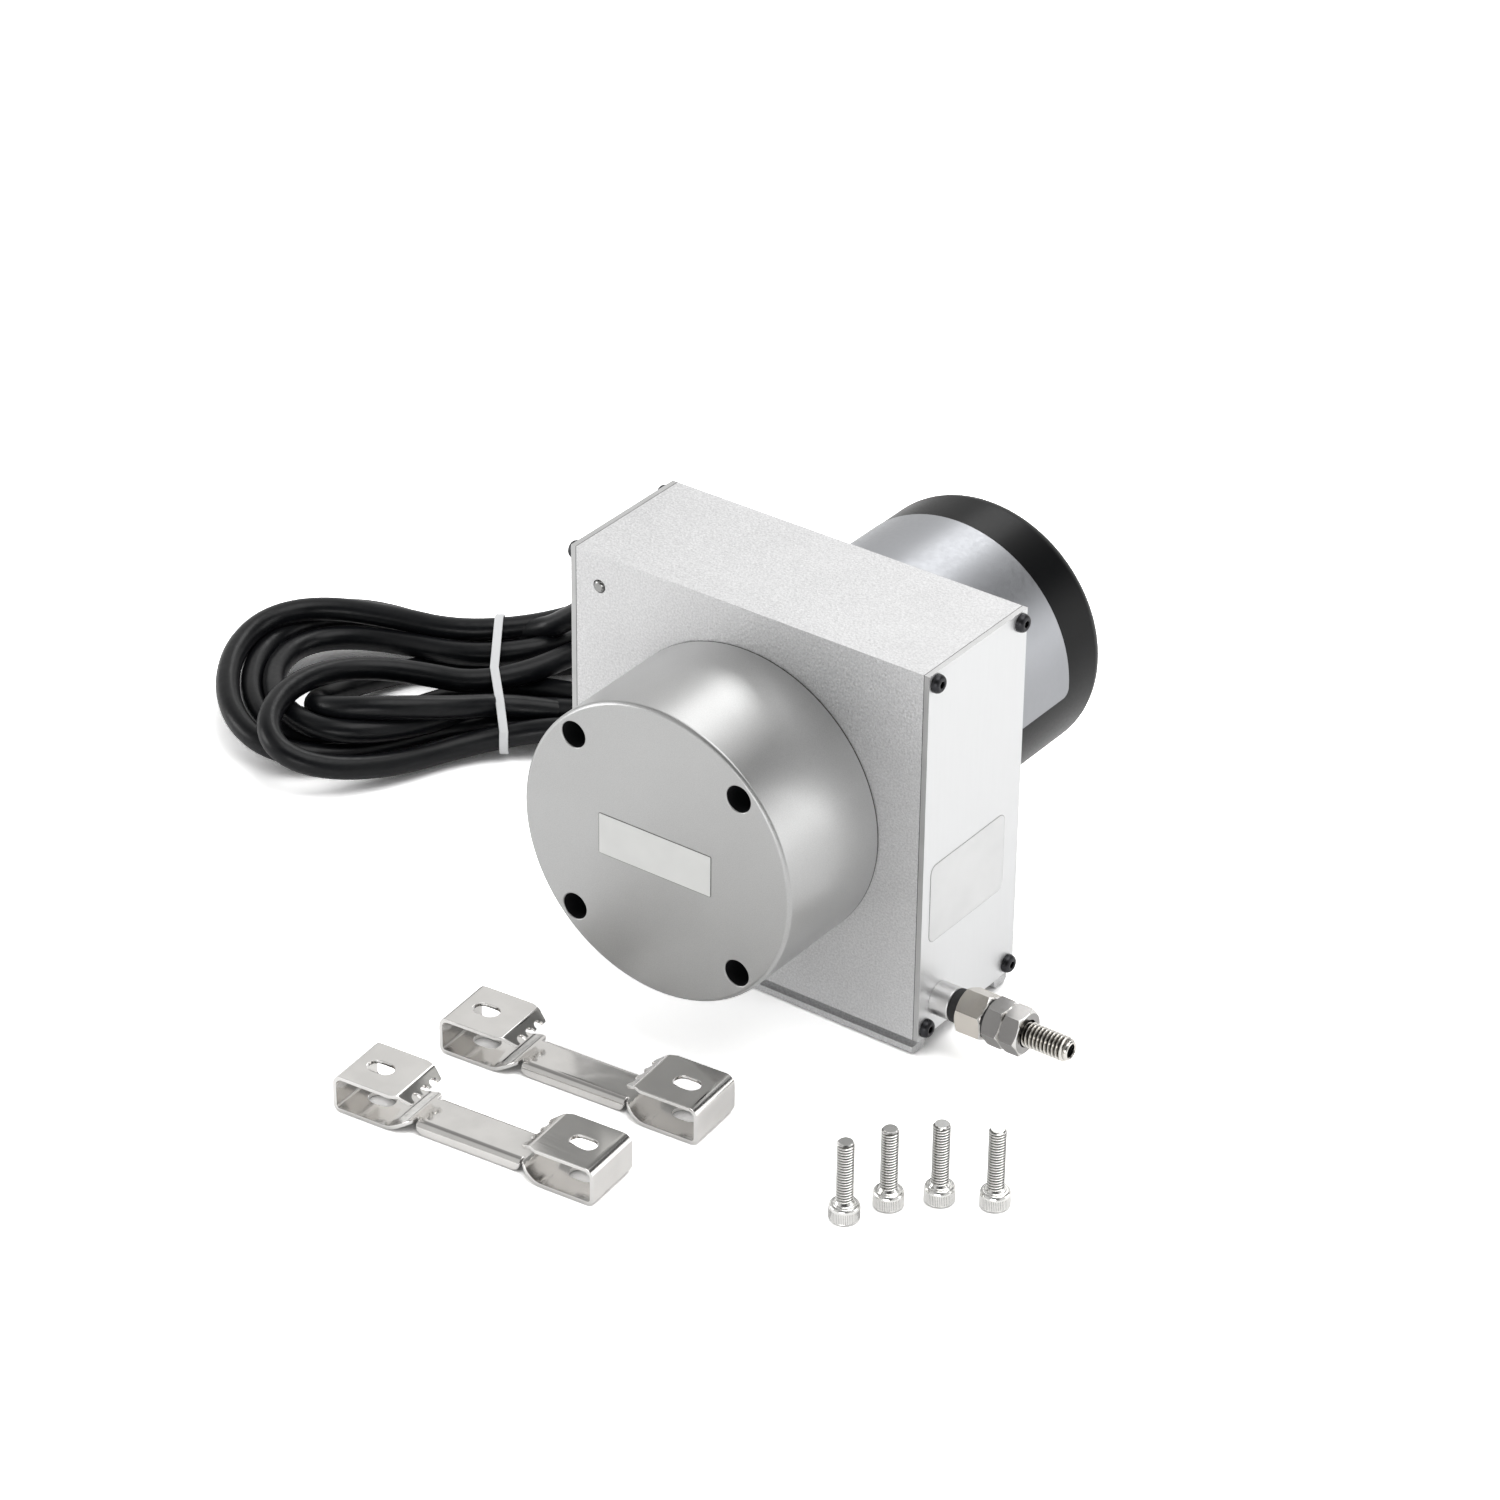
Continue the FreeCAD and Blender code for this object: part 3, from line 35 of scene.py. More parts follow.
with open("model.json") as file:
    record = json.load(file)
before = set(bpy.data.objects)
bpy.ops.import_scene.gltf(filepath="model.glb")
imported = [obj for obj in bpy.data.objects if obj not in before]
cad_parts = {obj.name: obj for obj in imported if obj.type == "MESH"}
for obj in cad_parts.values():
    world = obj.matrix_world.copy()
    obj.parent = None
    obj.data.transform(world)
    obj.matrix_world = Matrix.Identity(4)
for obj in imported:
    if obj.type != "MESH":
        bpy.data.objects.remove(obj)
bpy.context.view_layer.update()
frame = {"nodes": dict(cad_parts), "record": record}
nodes = frame["nodes"]
MM = 0.001

WIRE_Y = -0.01144
WIRE_Z = 0.0124
AXIS_Z = 0.052489
COVER_OUT = 0.048789
FIXED = "encoder_body"      # the body that stands still


# ---- camera, as the photograph was taken

CAMERA_ANGLES = (35.808, 31.271, 0.663)             # turn, rise and roll, in degrees
CAMERA_SHIFT = (-0.009956, 0.003979, 1.170089)      # aside, above and away from the box's middle
MIDDLE_HEIGHT = 0.0492
SENSOR = 36
PHOTO_SIDE = 1500
LENS_PIXELS = 5152.125


def set_camera():
    """A long lens from the front right, a little above."""
    turn, rise, roll = (math.radians(a) for a in CAMERA_ANGLES)
    back = Vector((math.sin(turn) * math.cos(rise), -math.cos(turn) * math.cos(rise), math.sin(rise)))
    level = Vector((math.cos(turn), math.sin(turn), 0))
    up = back.cross(level)
    right = level * math.cos(roll) + up * math.sin(roll)
    top = up * math.cos(roll) - level * math.sin(roll)
    aside, above, away = CAMERA_SHIFT
    place = Vector((0, 0, MIDDLE_HEIGHT)) + right * aside + top * above + back * away
    data = bpy.data.cameras.new("photo_camera")
    data.sensor_width = SENSOR
    data.lens = LENS_PIXELS * SENSOR / PHOTO_SIDE
    data.clip_start = 0.05
    data.clip_end = 20
    camera = bpy.data.objects.new("photo_camera", data)
    bpy.context.scene.collection.objects.link(camera)
    camera.matrix_world = Matrix((
        (right.x, top.x, back.x, place.x), (right.y, top.y, back.y, place.y),
        (right.z, top.z, back.z, place.z), (0, 0, 0, 1)))
    bpy.context.scene.camera = camera


set_camera()


# ---- finishes

class Nodes:
    """Short ways to add nodes to a material or world."""

    def __init__(self, owner):
        owner.use_nodes = True
        self.tree = owner.node_tree

    def node(self, kind, operation=None, **inputs):
        made = self.tree.nodes.new(kind)
        if operation:
            made.operation = operation
        for key, value in inputs.items():
            self.feed(made, key.replace("_", " "), value)
        return made

    def feed(self, made, key, value):
        """Links or sets one input, by its name or as in0, in1 and so on."""
        socket = made.inputs[int(key[2:]) if key[:2] == "in" and key[2:].isdigit() else key]
        if isinstance(value, bpy.types.NodeSocket):
            self.tree.links.new(value, socket)
        else:
            socket.default_value = value

    def spread(self, value, low, high, start=0.0, end=1.0):
        """value mapped from low..high to start..end, clamped."""
        made = self.node("ShaderNodeMapRange", in0=value, in1=low, in2=high, in3=start, in4=end)
        return made.outputs["Result"]

    def maths(self, way, a, b=0.0):
        return self.node("ShaderNodeMath", way, in0=a, in1=b).outputs[0]

    def between(self, value, first, second):
        """first where value is 0, second where it is 1."""
        made = self.tree.nodes.new("ShaderNodeMix")
        made.data_type = "RGBA"
        self.feed(made, "in0", value)
        for key, colour in (("in6", first), ("in7", second)):
            self.feed(made, key, (*colour, 1) if isinstance(colour, tuple) else colour)
        return made.outputs[2]


class Finish(Nodes):
    """One material round a Principled shader, and short ways to add texture to it."""

    def __init__(self, name, colour, rough, metal=0.0, **sockets):
        self.mat = bpy.data.materials.new(name)
        super().__init__(self.mat)
        self.shader = self.tree.nodes["Principled BSDF"]
        self.place = self.node("ShaderNodeTexCoord").outputs["Object"]
        self.link((*colour, 1), "Base Color")
        self.link(rough, "Roughness")
        self.link(metal, "Metallic")
        for key, value in sockets.items():
            self.link(value, key.replace("_", " "))

    def link(self, value, socket):
        self.feed(self.shader, socket, value)

    def roughen(self, value, low, high):
        """Roughness that follows a noise's usual range."""
        self.link(self.spread(value, 0.3, 0.7, low, high), "Roughness")

    def scaled(self, x, y, z, place=None):
        """The coordinates stretched by x, y and z."""
        made = self.node("ShaderNodeMapping", Vector=place or self.place, Scale=(x, y, z))
        return made.outputs["Vector"]

    def noise(self, scale, detail=2.0, rough=0.5, place=None):
        made = self.node("ShaderNodeTexNoise", Vector=place or self.place, Scale=scale, Detail=detail,
                         Roughness=rough)
        return made.outputs["Fac"]

    def bump(self, height, strength, distance, normal=None):
        made = self.node("ShaderNodeBump", Height=height, Strength=strength, Distance=distance)
        if normal is not None:
            self.feed(made, "Normal", normal)
        return made.outputs["Normal"]


def blasted_finish(name, grain, depth, low, high, rough):
    """Bead-blasted and anodised aluminium: fine sparkle, faint clouds, small dents."""
    f = Finish(name, low, rough, 1.0)
    fine = f.noise(grain, 3.0, 0.65)
    cloud = f.noise(60, 3.0, 0.5)
    tone = f.maths("ADD", f.maths("MULTIPLY", f.spread(fine, 0.30, 0.70), 0.75),
                   f.maths("MULTIPLY", cloud, 0.25))
    f.link(f.between(tone, low, high), "Base Color")
    f.roughen(fine, rough - 0.07, rough + 0.07)
    dents = f.bump(f.noise(grain * 0.8, 2.0), depth, 0.00012)
    f.link(dents, "Normal")
    return f.mat


def satin_cover_finish():
    """Smooth silver anodised plate with a very faint grain along its height."""
    f = Finish("satin_cover", (0.80, 0.805, 0.81), 0.46, 1.0)
    lines = f.noise(900, 2.0, 0.5, f.scaled(1, 1, 0.08))
    f.link(f.between(lines, (0.78, 0.785, 0.79), (0.82, 0.825, 0.83)), "Base Color")
    f.link(f.spread(lines, 0.2, 0.8, 0.42, 0.50), "Roughness")
    f.link(f.bump(f.noise(2600, 1.0), 0.04, 0.0001), "Normal")
    return f.mat


def bright_steel_finish(name, tone, rough, grain=(1, 1, 1), streak=0.05):
    """Polished or ground stainless steel, with streaks along the stretched direction."""
    f = Finish(name, tone, rough, 1.0)
    lines = f.noise(1500, 2.0, 0.6, f.scaled(*grain))
    stain = f.noise(140, 2.0, 0.5)
    f.roughen(lines, rough - streak, rough + streak)
    dark = tuple(c * 0.93 for c in tone)
    f.link(f.between(f.spread(stain, 0.35, 0.65), dark, tone), "Base Color")
    f.link(f.bump(lines, 0.05, 0.00004), "Normal")
    return f.mat


def groove_shaded_finish(name, crest, groove_shade, rough):
    """Bright steel with painted shade: darker towards the floor of its grooves, by the mesh's own depth
    values.
    """
    f = Finish(name, crest, rough, 1.0)
    deep = f.tree.nodes.new("ShaderNodeAttribute")
    deep.attribute_name = "groove_shade"
    lines = f.noise(1500, 2.0, 0.6)
    share = f.spread(f.maths("ADD", deep.outputs["Fac"], f.spread(lines, 0.0, 1.0, -0.12, 0.12)), 0.15, 0.9)
    f.link(f.between(share, crest, groove_shade), "Base Color")
    f.roughen(lines, rough - 0.05, rough + 0.07)
    f.link(f.bump(lines, 0.05, 0.00004), "Normal")
    return f.mat


def strand_valley_shaded_finish(name, bright, dark):
    """Fine steel rope: slanted strands, with painted shade in the valleys between them."""
    f = Finish(name, bright, 0.28, 1.0)
    parts = f.node("ShaderNodeSeparateXYZ", Vector=f.place)
    y = f.maths("SUBTRACT", parts.outputs["Y"], WIRE_Y)
    z = f.maths("SUBTRACT", parts.outputs["Z"], WIRE_Z)
    around = f.maths("ARCTAN2", z, y)
    lay = f.maths("ADD", f.maths("MULTIPLY", around, 6.0), f.maths("MULTIPLY", parts.outputs["X"], 3770.0))
    strand = f.maths("SINE", lay)
    # Painted shade: the colour falls to the dark tone in the valleys between strands.
    f.link(f.between(f.spread(strand, -1.0, -0.1), dark, bright), "Base Color")
    f.roughen(f.noise(1500), 0.29, 0.38)
    f.link(f.bump(strand, 0.5, 0.00008), "Normal")
    return f.mat


def cores_finish():
    """Five thin cores side by side, each with its own colour, bared to copper at the tips."""
    f = Finish("cable_core_sheaths", (0.5, 0.5, 0.5), 0.42, 0.0)
    c, s = math.cos(HANK_TURN), math.sin(HANK_TURN)
    end = HANK_AT + Vector((73.6 * c + 4.0 * s, 73.6 * s - 4.0 * c, 0)) * MM
    parts = f.node("ShaderNodeSeparateXYZ", Vector=f.place)
    x = f.maths("SUBTRACT", parts.outputs["X"], end.x)
    y = f.maths("SUBTRACT", parts.outputs["Y"], end.y)
    along = f.maths("ADD", f.maths("MULTIPLY", x, c), f.maths("MULTIPLY", y, s))
    across = f.maths("SUBTRACT", f.maths("MULTIPLY", y, c), f.maths("MULTIPLY", x, s))
    spacing = f.maths("ADD", f.maths("MULTIPLY", along, math.radians(5.0)), 1.3 * MM)
    number = f.maths("ROUND", f.maths("DIVIDE", across, spacing))
    colour = (0.62, 0.60, 0.56)
    for edge, tint in ((-1.5, (0.012, 0.012, 0.013)), (-0.5, (0.42, 0.02, 0.015)),
                       (0.5, (0.03, 0.20, 0.05)), (1.5, (0.60, 0.42, 0.03))):
        colour = f.between(f.maths("GREATER_THAN", number, edge), colour, tint)
    bare = f.maths("GREATER_THAN", along, 0.0205)
    f.link(f.between(bare, colour, (0.72, 0.36, 0.19)), "Base Color")
    f.link(bare, "Metallic")
    f.roughen(f.noise(1300), 0.34, 0.46)
    return f.mat


def turned_finish(name, tone, rough, centre):
    """Bare turned metal with fine rings round the axis that runs along Y."""
    f = Finish(name, tone, rough, 1.0)
    parts = f.node("ShaderNodeSeparateXYZ", Vector=f.place)
    x = f.maths("SUBTRACT", parts.outputs["X"], centre[0])
    z = f.maths("SUBTRACT", parts.outputs["Z"], centre[1])
    away = f.maths("SQRT", f.maths("ADD", f.maths("MULTIPLY", x, x), f.maths("MULTIPLY", z, z)))
    rings = f.noise(2400, 1.0, 0.5, f.node("ShaderNodeCombineXYZ", X=away, Y=parts.outputs["Y"]).outputs[0])
    f.roughen(rings, rough - 0.08, rough + 0.08)
    f.link(f.bump(rings, 0.1, 0.00003), "Normal")
    return f.mat


def cap_finish():
    """Black satin coat, very finely pebbled."""
    f = Finish("black_satin_coat", (0.003, 0.0032, 0.0035), 0.30, 0.0, Specular_IOR_Level=0.15)
    pebbles = f.noise(1900, 2.0, 0.5)
    f.link(f.between(f.noise(45, 3.0), (0.0022, 0.0024, 0.0028), (0.0042, 0.0045, 0.0052)), "Base Color")
    f.roughen(pebbles, 0.28, 0.34)
    f.link(f.bump(pebbles, 0.05, 0.0001), "Normal")
    return f.mat


def moulded_finish(name, colour, rough, grain=1200, depth=0.08, **sockets):
    """Moulded plastic or rubber with a soft uneven skin."""
    f = Finish(name, colour, rough, 0.0, **sockets)
    skin = f.noise(grain, 2.0, 0.55)
    cloud = f.noise(90, 2.0)
    light = tuple(min(1.0, c * 1.12 + 0.002) for c in colour)
    dark = tuple(c * 0.9 for c in colour)
    f.link(f.between(cloud, dark, light), "Base Color")
    f.roughen(skin, rough - 0.05, rough + 0.06)
    f.link(f.bump(skin, depth, 0.0001), "Normal")
    return f.mat


def foil_finish():
    """Silver label foil with a soft, slightly cloudy sheen."""
    f = Finish("cap_label_foil", (0.39, 0.40, 0.42), 0.38, 0.80)
    f.roughen(f.noise(900, 2.0), 0.32, 0.40)
    f.link(f.between(f.noise(70, 2.0), (0.37, 0.379, 0.40), (0.41, 0.419, 0.44)), "Base Color")
    return f.mat


def disc_glass_finish():
    """Glass of the code disc: clear with a faint haze."""
    f = Finish("disc_glass", (0.80, 0.84, 0.85), 0.06, 0.0, Transmission_Weight=0.9)
    haze = f.noise(260, 3.0)
    f.link(f.between(haze, (0.76, 0.81, 0.82), (0.84, 0.87, 0.88)), "Base Color")
    f.roughen(haze, 0.04, 0.11)
    return f.mat


def sheath_finish():
    """Black flexible cable sheath: a dull sheen, faint lengthwise scuffs and waves of the cores."""
    f = Finish("cable_sheath", (0.005, 0.0055, 0.0065), 0.30, 0.0, Specular_IOR_Level=0.27)
    scuff = f.noise(700, 3.0, 0.6)
    soft = f.noise(120, 2.0)
    f.link(f.between(soft, (0.0035, 0.0038, 0.0048), (0.0065, 0.007, 0.0085)), "Base Color")
    f.link(f.spread(scuff, 0.3, 0.75, 0.28, 0.38), "Roughness")
    waves = f.bump(f.noise(170, 2.0), 0.22, 0.0008)
    f.link(f.bump(scuff, 0.06, 0.0001, waves), "Normal")
    return f.mat


ALUMINIUM = blasted_finish("blasted_aluminium", 2000, 0.80, (0.56, 0.56, 0.565), (0.87, 0.87, 0.875), 0.56)
DRUM_ALUMINIUM = blasted_finish("drum_aluminium", 4200, 0.14, (0.43, 0.432, 0.43),
                                (0.56, 0.562, 0.56), 0.38)
COVER = satin_cover_finish()
TURNED = turned_finish("turned_aluminium", (0.76, 0.76, 0.77), 0.37, (0.0, AXIS_Z))
GROUND = bright_steel_finish("ground_steel", (0.60, 0.60, 0.61), 0.34)
HEX_STEEL = bright_steel_finish("hexagon_steel", (0.72, 0.68, 0.625), 0.22)
NUT_STEEL = bright_steel_finish("nut_steel", (0.36, 0.352, 0.345), 0.20)
CORNER_STEEL = bright_steel_finish("turned_corner_steel", (0.80, 0.79, 0.775), 0.14)
# Painted shade: the stud's and the loose screws' steel darkens towards the floor of thread and knurl
# grooves.
STUD_STEEL_GROOVE_SHADED = groove_shaded_finish("stud_thread_steel_groove_shade", (0.78, 0.76, 0.72), (0.085, 0.075, 0.065), 0.16)
WASHER = moulded_finish("washer_black", (0.010, 0.010, 0.011), 0.50)
BUSH_STEEL = bright_steel_finish("bush_steel", (0.75, 0.745, 0.74), 0.36, (0.05, 1, 1))
SHEET_STEEL = bright_steel_finish("clamp_sheet_steel", (0.79, 0.775, 0.755), 0.13, (0.06, 1, 1), 0.04)
SCREW_STEEL_GROOVE_SHADED = groove_shaded_finish("loose_screw_steel_groove_shade", (0.90, 0.895, 0.875), (0.16, 0.155, 0.145), 0.20)
# Painted highlight: a brighter finish for the box's rounded top edges.
EDGE_HIGHLIGHT_ALUMINIUM = bright_steel_finish("edge_painted_highlight", (0.97, 0.97, 0.975), 0.62)
PIN_STEEL = bright_steel_finish("pin_steel", (0.34, 0.34, 0.335), 0.20)
CUT_EDGE = bright_steel_finish("cover_cut_edge", (0.56, 0.56, 0.56), 0.42, (1, 1, 0.2))
JOINT_DARK = moulded_finish("joint_line", (0.035, 0.035, 0.036), 0.60)
# Painted shade: the pull wire's colour darkens in the valleys between its strands.
WIRE_STEEL_VALLEY_SHADED = strand_valley_shaded_finish("pull_wire_steel_valley_shade", (0.62, 0.62, 0.61), (0.10, 0.10, 0.10))
# Painted shade: a near-black finish for the walls of deep bores, where shade falls.
BORE_SHADE_BLACK = moulded_finish("bore_painted_shade", (0.006, 0.006, 0.007), 0.62)
SPRING_STEEL = bright_steel_finish("spring_steel", (0.30, 0.33, 0.40), 0.22)
BLACK_STEEL = bright_steel_finish("black_oxide_steel", (0.05, 0.05, 0.054), 0.34)
BRASS = bright_steel_finish("brass", (0.78, 0.58, 0.27), 0.22)
CAP_BLACK = cap_finish()
RUBBER = moulded_finish("buffer_rubber", (0.012, 0.012, 0.013), 0.62, 1500, 0.2)
NYLON = moulded_finish("gland_nylon", (0.016, 0.016, 0.018), 0.45)
BOARD = moulded_finish("circuit_board", (0.012, 0.12, 0.05), 0.35)
HEAD = moulded_finish("head_plastic", (0.02, 0.02, 0.02), 0.55)
CERAMIC = moulded_finish("guide_ceramic", (0.86, 0.85, 0.82), 0.18)
TIE_WHITE = moulded_finish("tie_nylon", (0.80, 0.81, 0.82), 0.38, 900, 0.05)
SHEATH = sheath_finish()
DISC = disc_glass_finish()


# ---- studio: pale floor, soft boxes, white surroundings

# light of the world: a direction, where its glow starts and is full (cosines), strength there
WORLD_LIGHT = (((-0.30, 0.75, 0.59), 0.45, 0.97, 0.62, 0.84),
               ((0.46, 0.66, 0.57), 0.90, 0.975, 0.0, -0.64),
               ((0.42, -0.69, 0.58), 0.72, 0.95, 0.0, -0.56),
               ((-0.50, -0.10, 0.85), 0.88, 0.97, 0.0, -0.35))


def set_world():
    """A studio that is bright behind the object and dark on the camera's side and in gaps between lamps."""
    world = bpy.data.worlds.new("studio")
    bpy.context.scene.world = world
    w = Nodes(world)
    way = w.node("ShaderNodeTexCoord").outputs["Generated"]
    level = 0.0
    for toward, start, end, low, high in WORLD_LIGHT:
        facing = w.node("ShaderNodeVectorMath", "DOT_PRODUCT", in0=way, in1=Vector(toward).normalized())
        part = w.spread(facing.outputs["Value"], start, end, low, high)
        part.node.interpolation_type = "SMOOTHSTEP"
        level = w.maths("ADD", level, part)
    lit = w.tree.nodes["Background"]
    w.feed(lit, "Color", (1, 0.998, 0.99, 1))
    w.feed(lit, "Strength", level)
    white = w.node("ShaderNodeBackground", Color=(1, 1, 1, 1))
    path = w.node("ShaderNodeLightPath").outputs
    seen = w.maths("MAXIMUM", path["Is Camera Ray"], path["Is Transmission Ray"])
    mix = w.node("ShaderNodeMixShader", in0=seen, in1=lit.outputs[0], in2=white.outputs[0])
    w.feed(w.tree.nodes["World Output"], "Surface", mix.outputs[0])


def soft_box(name, place, target, width, height, power):
    """A large rectangular lamp that faces its target."""
    data = bpy.data.lights.new(name, "AREA")
    data.shape = "RECTANGLE"
    data.size = width
    data.size_y = height
    data.energy = power
    lamp = bpy.data.objects.new(name, data)
    bpy.context.scene.collection.objects.link(lamp)
    lamp.location = place
    lamp.rotation_euler = (Vector(target) - Vector(place)).to_track_quat("-Z", "Y").to_euler()


FLOOR_TONE = (0.88, 0.88, 0.88)         # as the floor lights the object
MIRRORED_TONE = (1.20, 1.20, 1.20)      # as metal shows it
SHADOW_REACH = 0.018
FLOOR_GLOW = 0.03


def lay_floor():
    """White table top that keeps a soft shadow, deepest close to the object."""
    bm = bmesh.new()
    bmesh.ops.create_grid(bm, x_segments=1, y_segments=1, size=6)
    mesh = bpy.data.meshes.new("table_top")
    bm.to_mesh(mesh)
    bm.free()
    mat = bpy.data.materials.new("white_table")
    t = Nodes(mat)
    t.tree.nodes.clear()
    path = t.node("ShaderNodeLightPath").outputs
    near = t.node("ShaderNodeAmbientOcclusion", Distance=SHADOW_REACH)
    near.samples = 8
    hug = t.spread(near.outputs["AO"], 0.05, 0.50, 0.30, 2.4)
    plain = t.between(path["Is Glossy Ray"], FLOOR_TONE, MIRRORED_TONE)
    matt = t.node("ShaderNodeBsdfDiffuse", Color=t.between(path["Is Camera Ray"], plain, hug))
    level = t.maths("MULTIPLY", path["Is Camera Ray"], FLOOR_GLOW)
    glow = t.node("ShaderNodeEmission", Color=(1, 1, 1, 1), Strength=level)
    both = t.node("ShaderNodeAddShader", in0=matt.outputs[0], in1=glow.outputs[0])
    t.node("ShaderNodeOutputMaterial", Surface=both.outputs[0])
    mesh.materials.append(mat)
    floor = bpy.data.objects.new("table_top", mesh)
    bpy.context.scene.collection.objects.link(floor)
    floor.location.z = -0.0002


set_world()
lay_floor()
soft_box("back_box", (-0.30, 0.95, 0.92), (0, 0, 0.06), 0.50, 0.36, 1.8)
soft_box("right_box", (1.25, 0.80, 0.42), (0.02, 0, 0.05), 0.95, 0.85, 3.8)
soft_box("top_box", (0.25, 0.15, 1.3), (0.02, 0, 0.05), 1.0, 0.9, 5.5)
soft_box("front_box", (-1.25, -0.75, 0.35), (0, 0, 0.03), 0.8, 0.5, 5.0)
soft_box("low_box", (0.55, -1.35, 0.30), (0, 0, 0.02), 0.9, 0.4, 4.2)


# ---- ways to make pieces

def add_piece(name, bm, finish, body, stands_for=(), bend=35, groove_shade=None):
    """The bmesh as an object that moves with a body; faces meet smoothly below the bend in degrees.

    The last argument gives how deep a point lies in a thread or knurl, from 0 to 1; finishes paint shade by
    it in the grooves."""
    limit = math.radians(bend)
    for face in bm.faces:
        face.smooth = True
    for edge in bm.edges:
        edge.smooth = edge.calc_face_angle(0.0) < limit
    mesh = bpy.data.meshes.new(name)
    bm.to_mesh(mesh)
    bm.free()
    for one in finish if isinstance(finish, tuple) else (finish,):
        mesh.materials.append(one)
    if groove_shade:
        depths = mesh.attributes.new("groove_shade", "FLOAT", "POINT")
        for vert, depth in zip(mesh.vertices, depths.data):
            depth.value = groove_shade(vert.co)
    piece = bpy.data.objects.new(name, mesh)
    bpy.context.scene.collection.objects.link(piece)
    shading = piece.modifiers.new("flat_faces_stay_flat", "WEIGHTED_NORMAL")
    shading.keep_sharp = True
    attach(piece, body)
    if stands_for:
        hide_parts(*stands_for)
    return piece


def copied(node):
    """A merged copy of a node's mesh, with its flat faces whole again."""
    bm = bmesh.new()
    bm.from_mesh(nodes[node].data)
    bmesh.ops.remove_doubles(bm, verts=bm.verts, dist=1e-6)
    bmesh.ops.dissolve_limit(bm, angle_limit=math.radians(0.6), verts=bm.verts, edges=bm.edges)
    return bm


def softened(bm, width, segments=2, bend=40, wanted=None):
    """Rounds the sharp edges, or those that wanted picks among them."""
    limit = math.radians(bend)
    picked = [e for e in bm.edges if len(e.link_faces) == 2 and e.calc_face_angle(0.0) > limit
              and (wanted is None or wanted(e))]
    bmesh.ops.bevel(bm, geom=picked, offset=width, offset_type="OFFSET", segments=segments, profile=0.5,
                    affect="EDGES", clamp_overlap=True, material=-1)
    return bm


def painted(bm, slot, wanted):
    """Gives the faces that wanted picks the piece's finish number slot."""
    for face in bm.faces:
        if wanted(face):
            face.material_index = slot
    return bm


def outward(bm):
    """Turns every face outwards."""
    bmesh.ops.recalc_face_normals(bm, faces=bm.faces)
    return bm


def cut_through(bm, place, normal, **clear):
    """Cuts every face along a plane."""
    bmesh.ops.bisect_plane(bm, geom=bm.verts[:] + bm.edges[:] + bm.faces[:], plane_co=place,
                           plane_no=normal, **clear)


def thickened(bm, thick):
    """A flat sheet raised into a closed plate, its lower face left in place."""
    made = bmesh.ops.extrude_face_region(bm, geom=bm.faces[:])
    top = [g for g in made["geom"] if isinstance(g, bmesh.types.BMVert)]
    bmesh.ops.translate(bm, vec=(0, 0, thick), verts=top)


def spun(profile, steps=96):
    """A ring round the local Z axis from (radius, height) pairs; closes on the axis or on itself."""
    bm = bmesh.new()
    verts = [bm.verts.new((r, 0, z)) for r, z in profile]
    rim = [bm.edges.new(pair) for pair in zip(verts, verts[1:])]
    if profile[0][0] > 0 or profile[-1][0] > 0:
        rim.append(bm.edges.new((verts[-1], verts[0])))
    bmesh.ops.spin(bm, geom=verts + rim, axis=(0, 0, 1), cent=(0, 0, 0), steps=steps, angle=math.tau,
                   use_merge=True, use_duplicate=False)
    bmesh.ops.remove_doubles(bm, verts=bm.verts, dist=1e-7)
    return outward(bm)


ALONG_X = Matrix(((0, 0, 1, 0), (1, 0, 0, 0), (0, 1, 0, 0), (0, 0, 0, 1)))
ALONG_Y = Matrix(((1, 0, 0, 0), (0, 0, 1, 0), (0, -1, 0, 0), (0, 0, 0, 1)))


def put(bm, place, turn=None):
    """Moves a shape made round the origin to its place."""
    bm.transform(Matrix.Translation(place) @ (turn or Matrix.Identity(4)))
    return bm


# ---- cable: one cord from the gland through the hank to its bared end

HANK_AT = Vector((-0.1253, 0.0493, 0))
HANK_TURN = math.radians(35.8)
CABLE_RADIUS = 0.003
EXIT = (-0.04996, 0.062, 0.052489)
LEAD = [(0, 0, 0), (-0.013, 0, -0.0006), (-0.027, 0.0003, -0.0052), (-0.041, 0.0012, -0.0135),
        (-0.054, 0.0022, -0.024), (-0.065, 0.0032, -0.0335), (-0.074, 0.0032, -0.0405)]
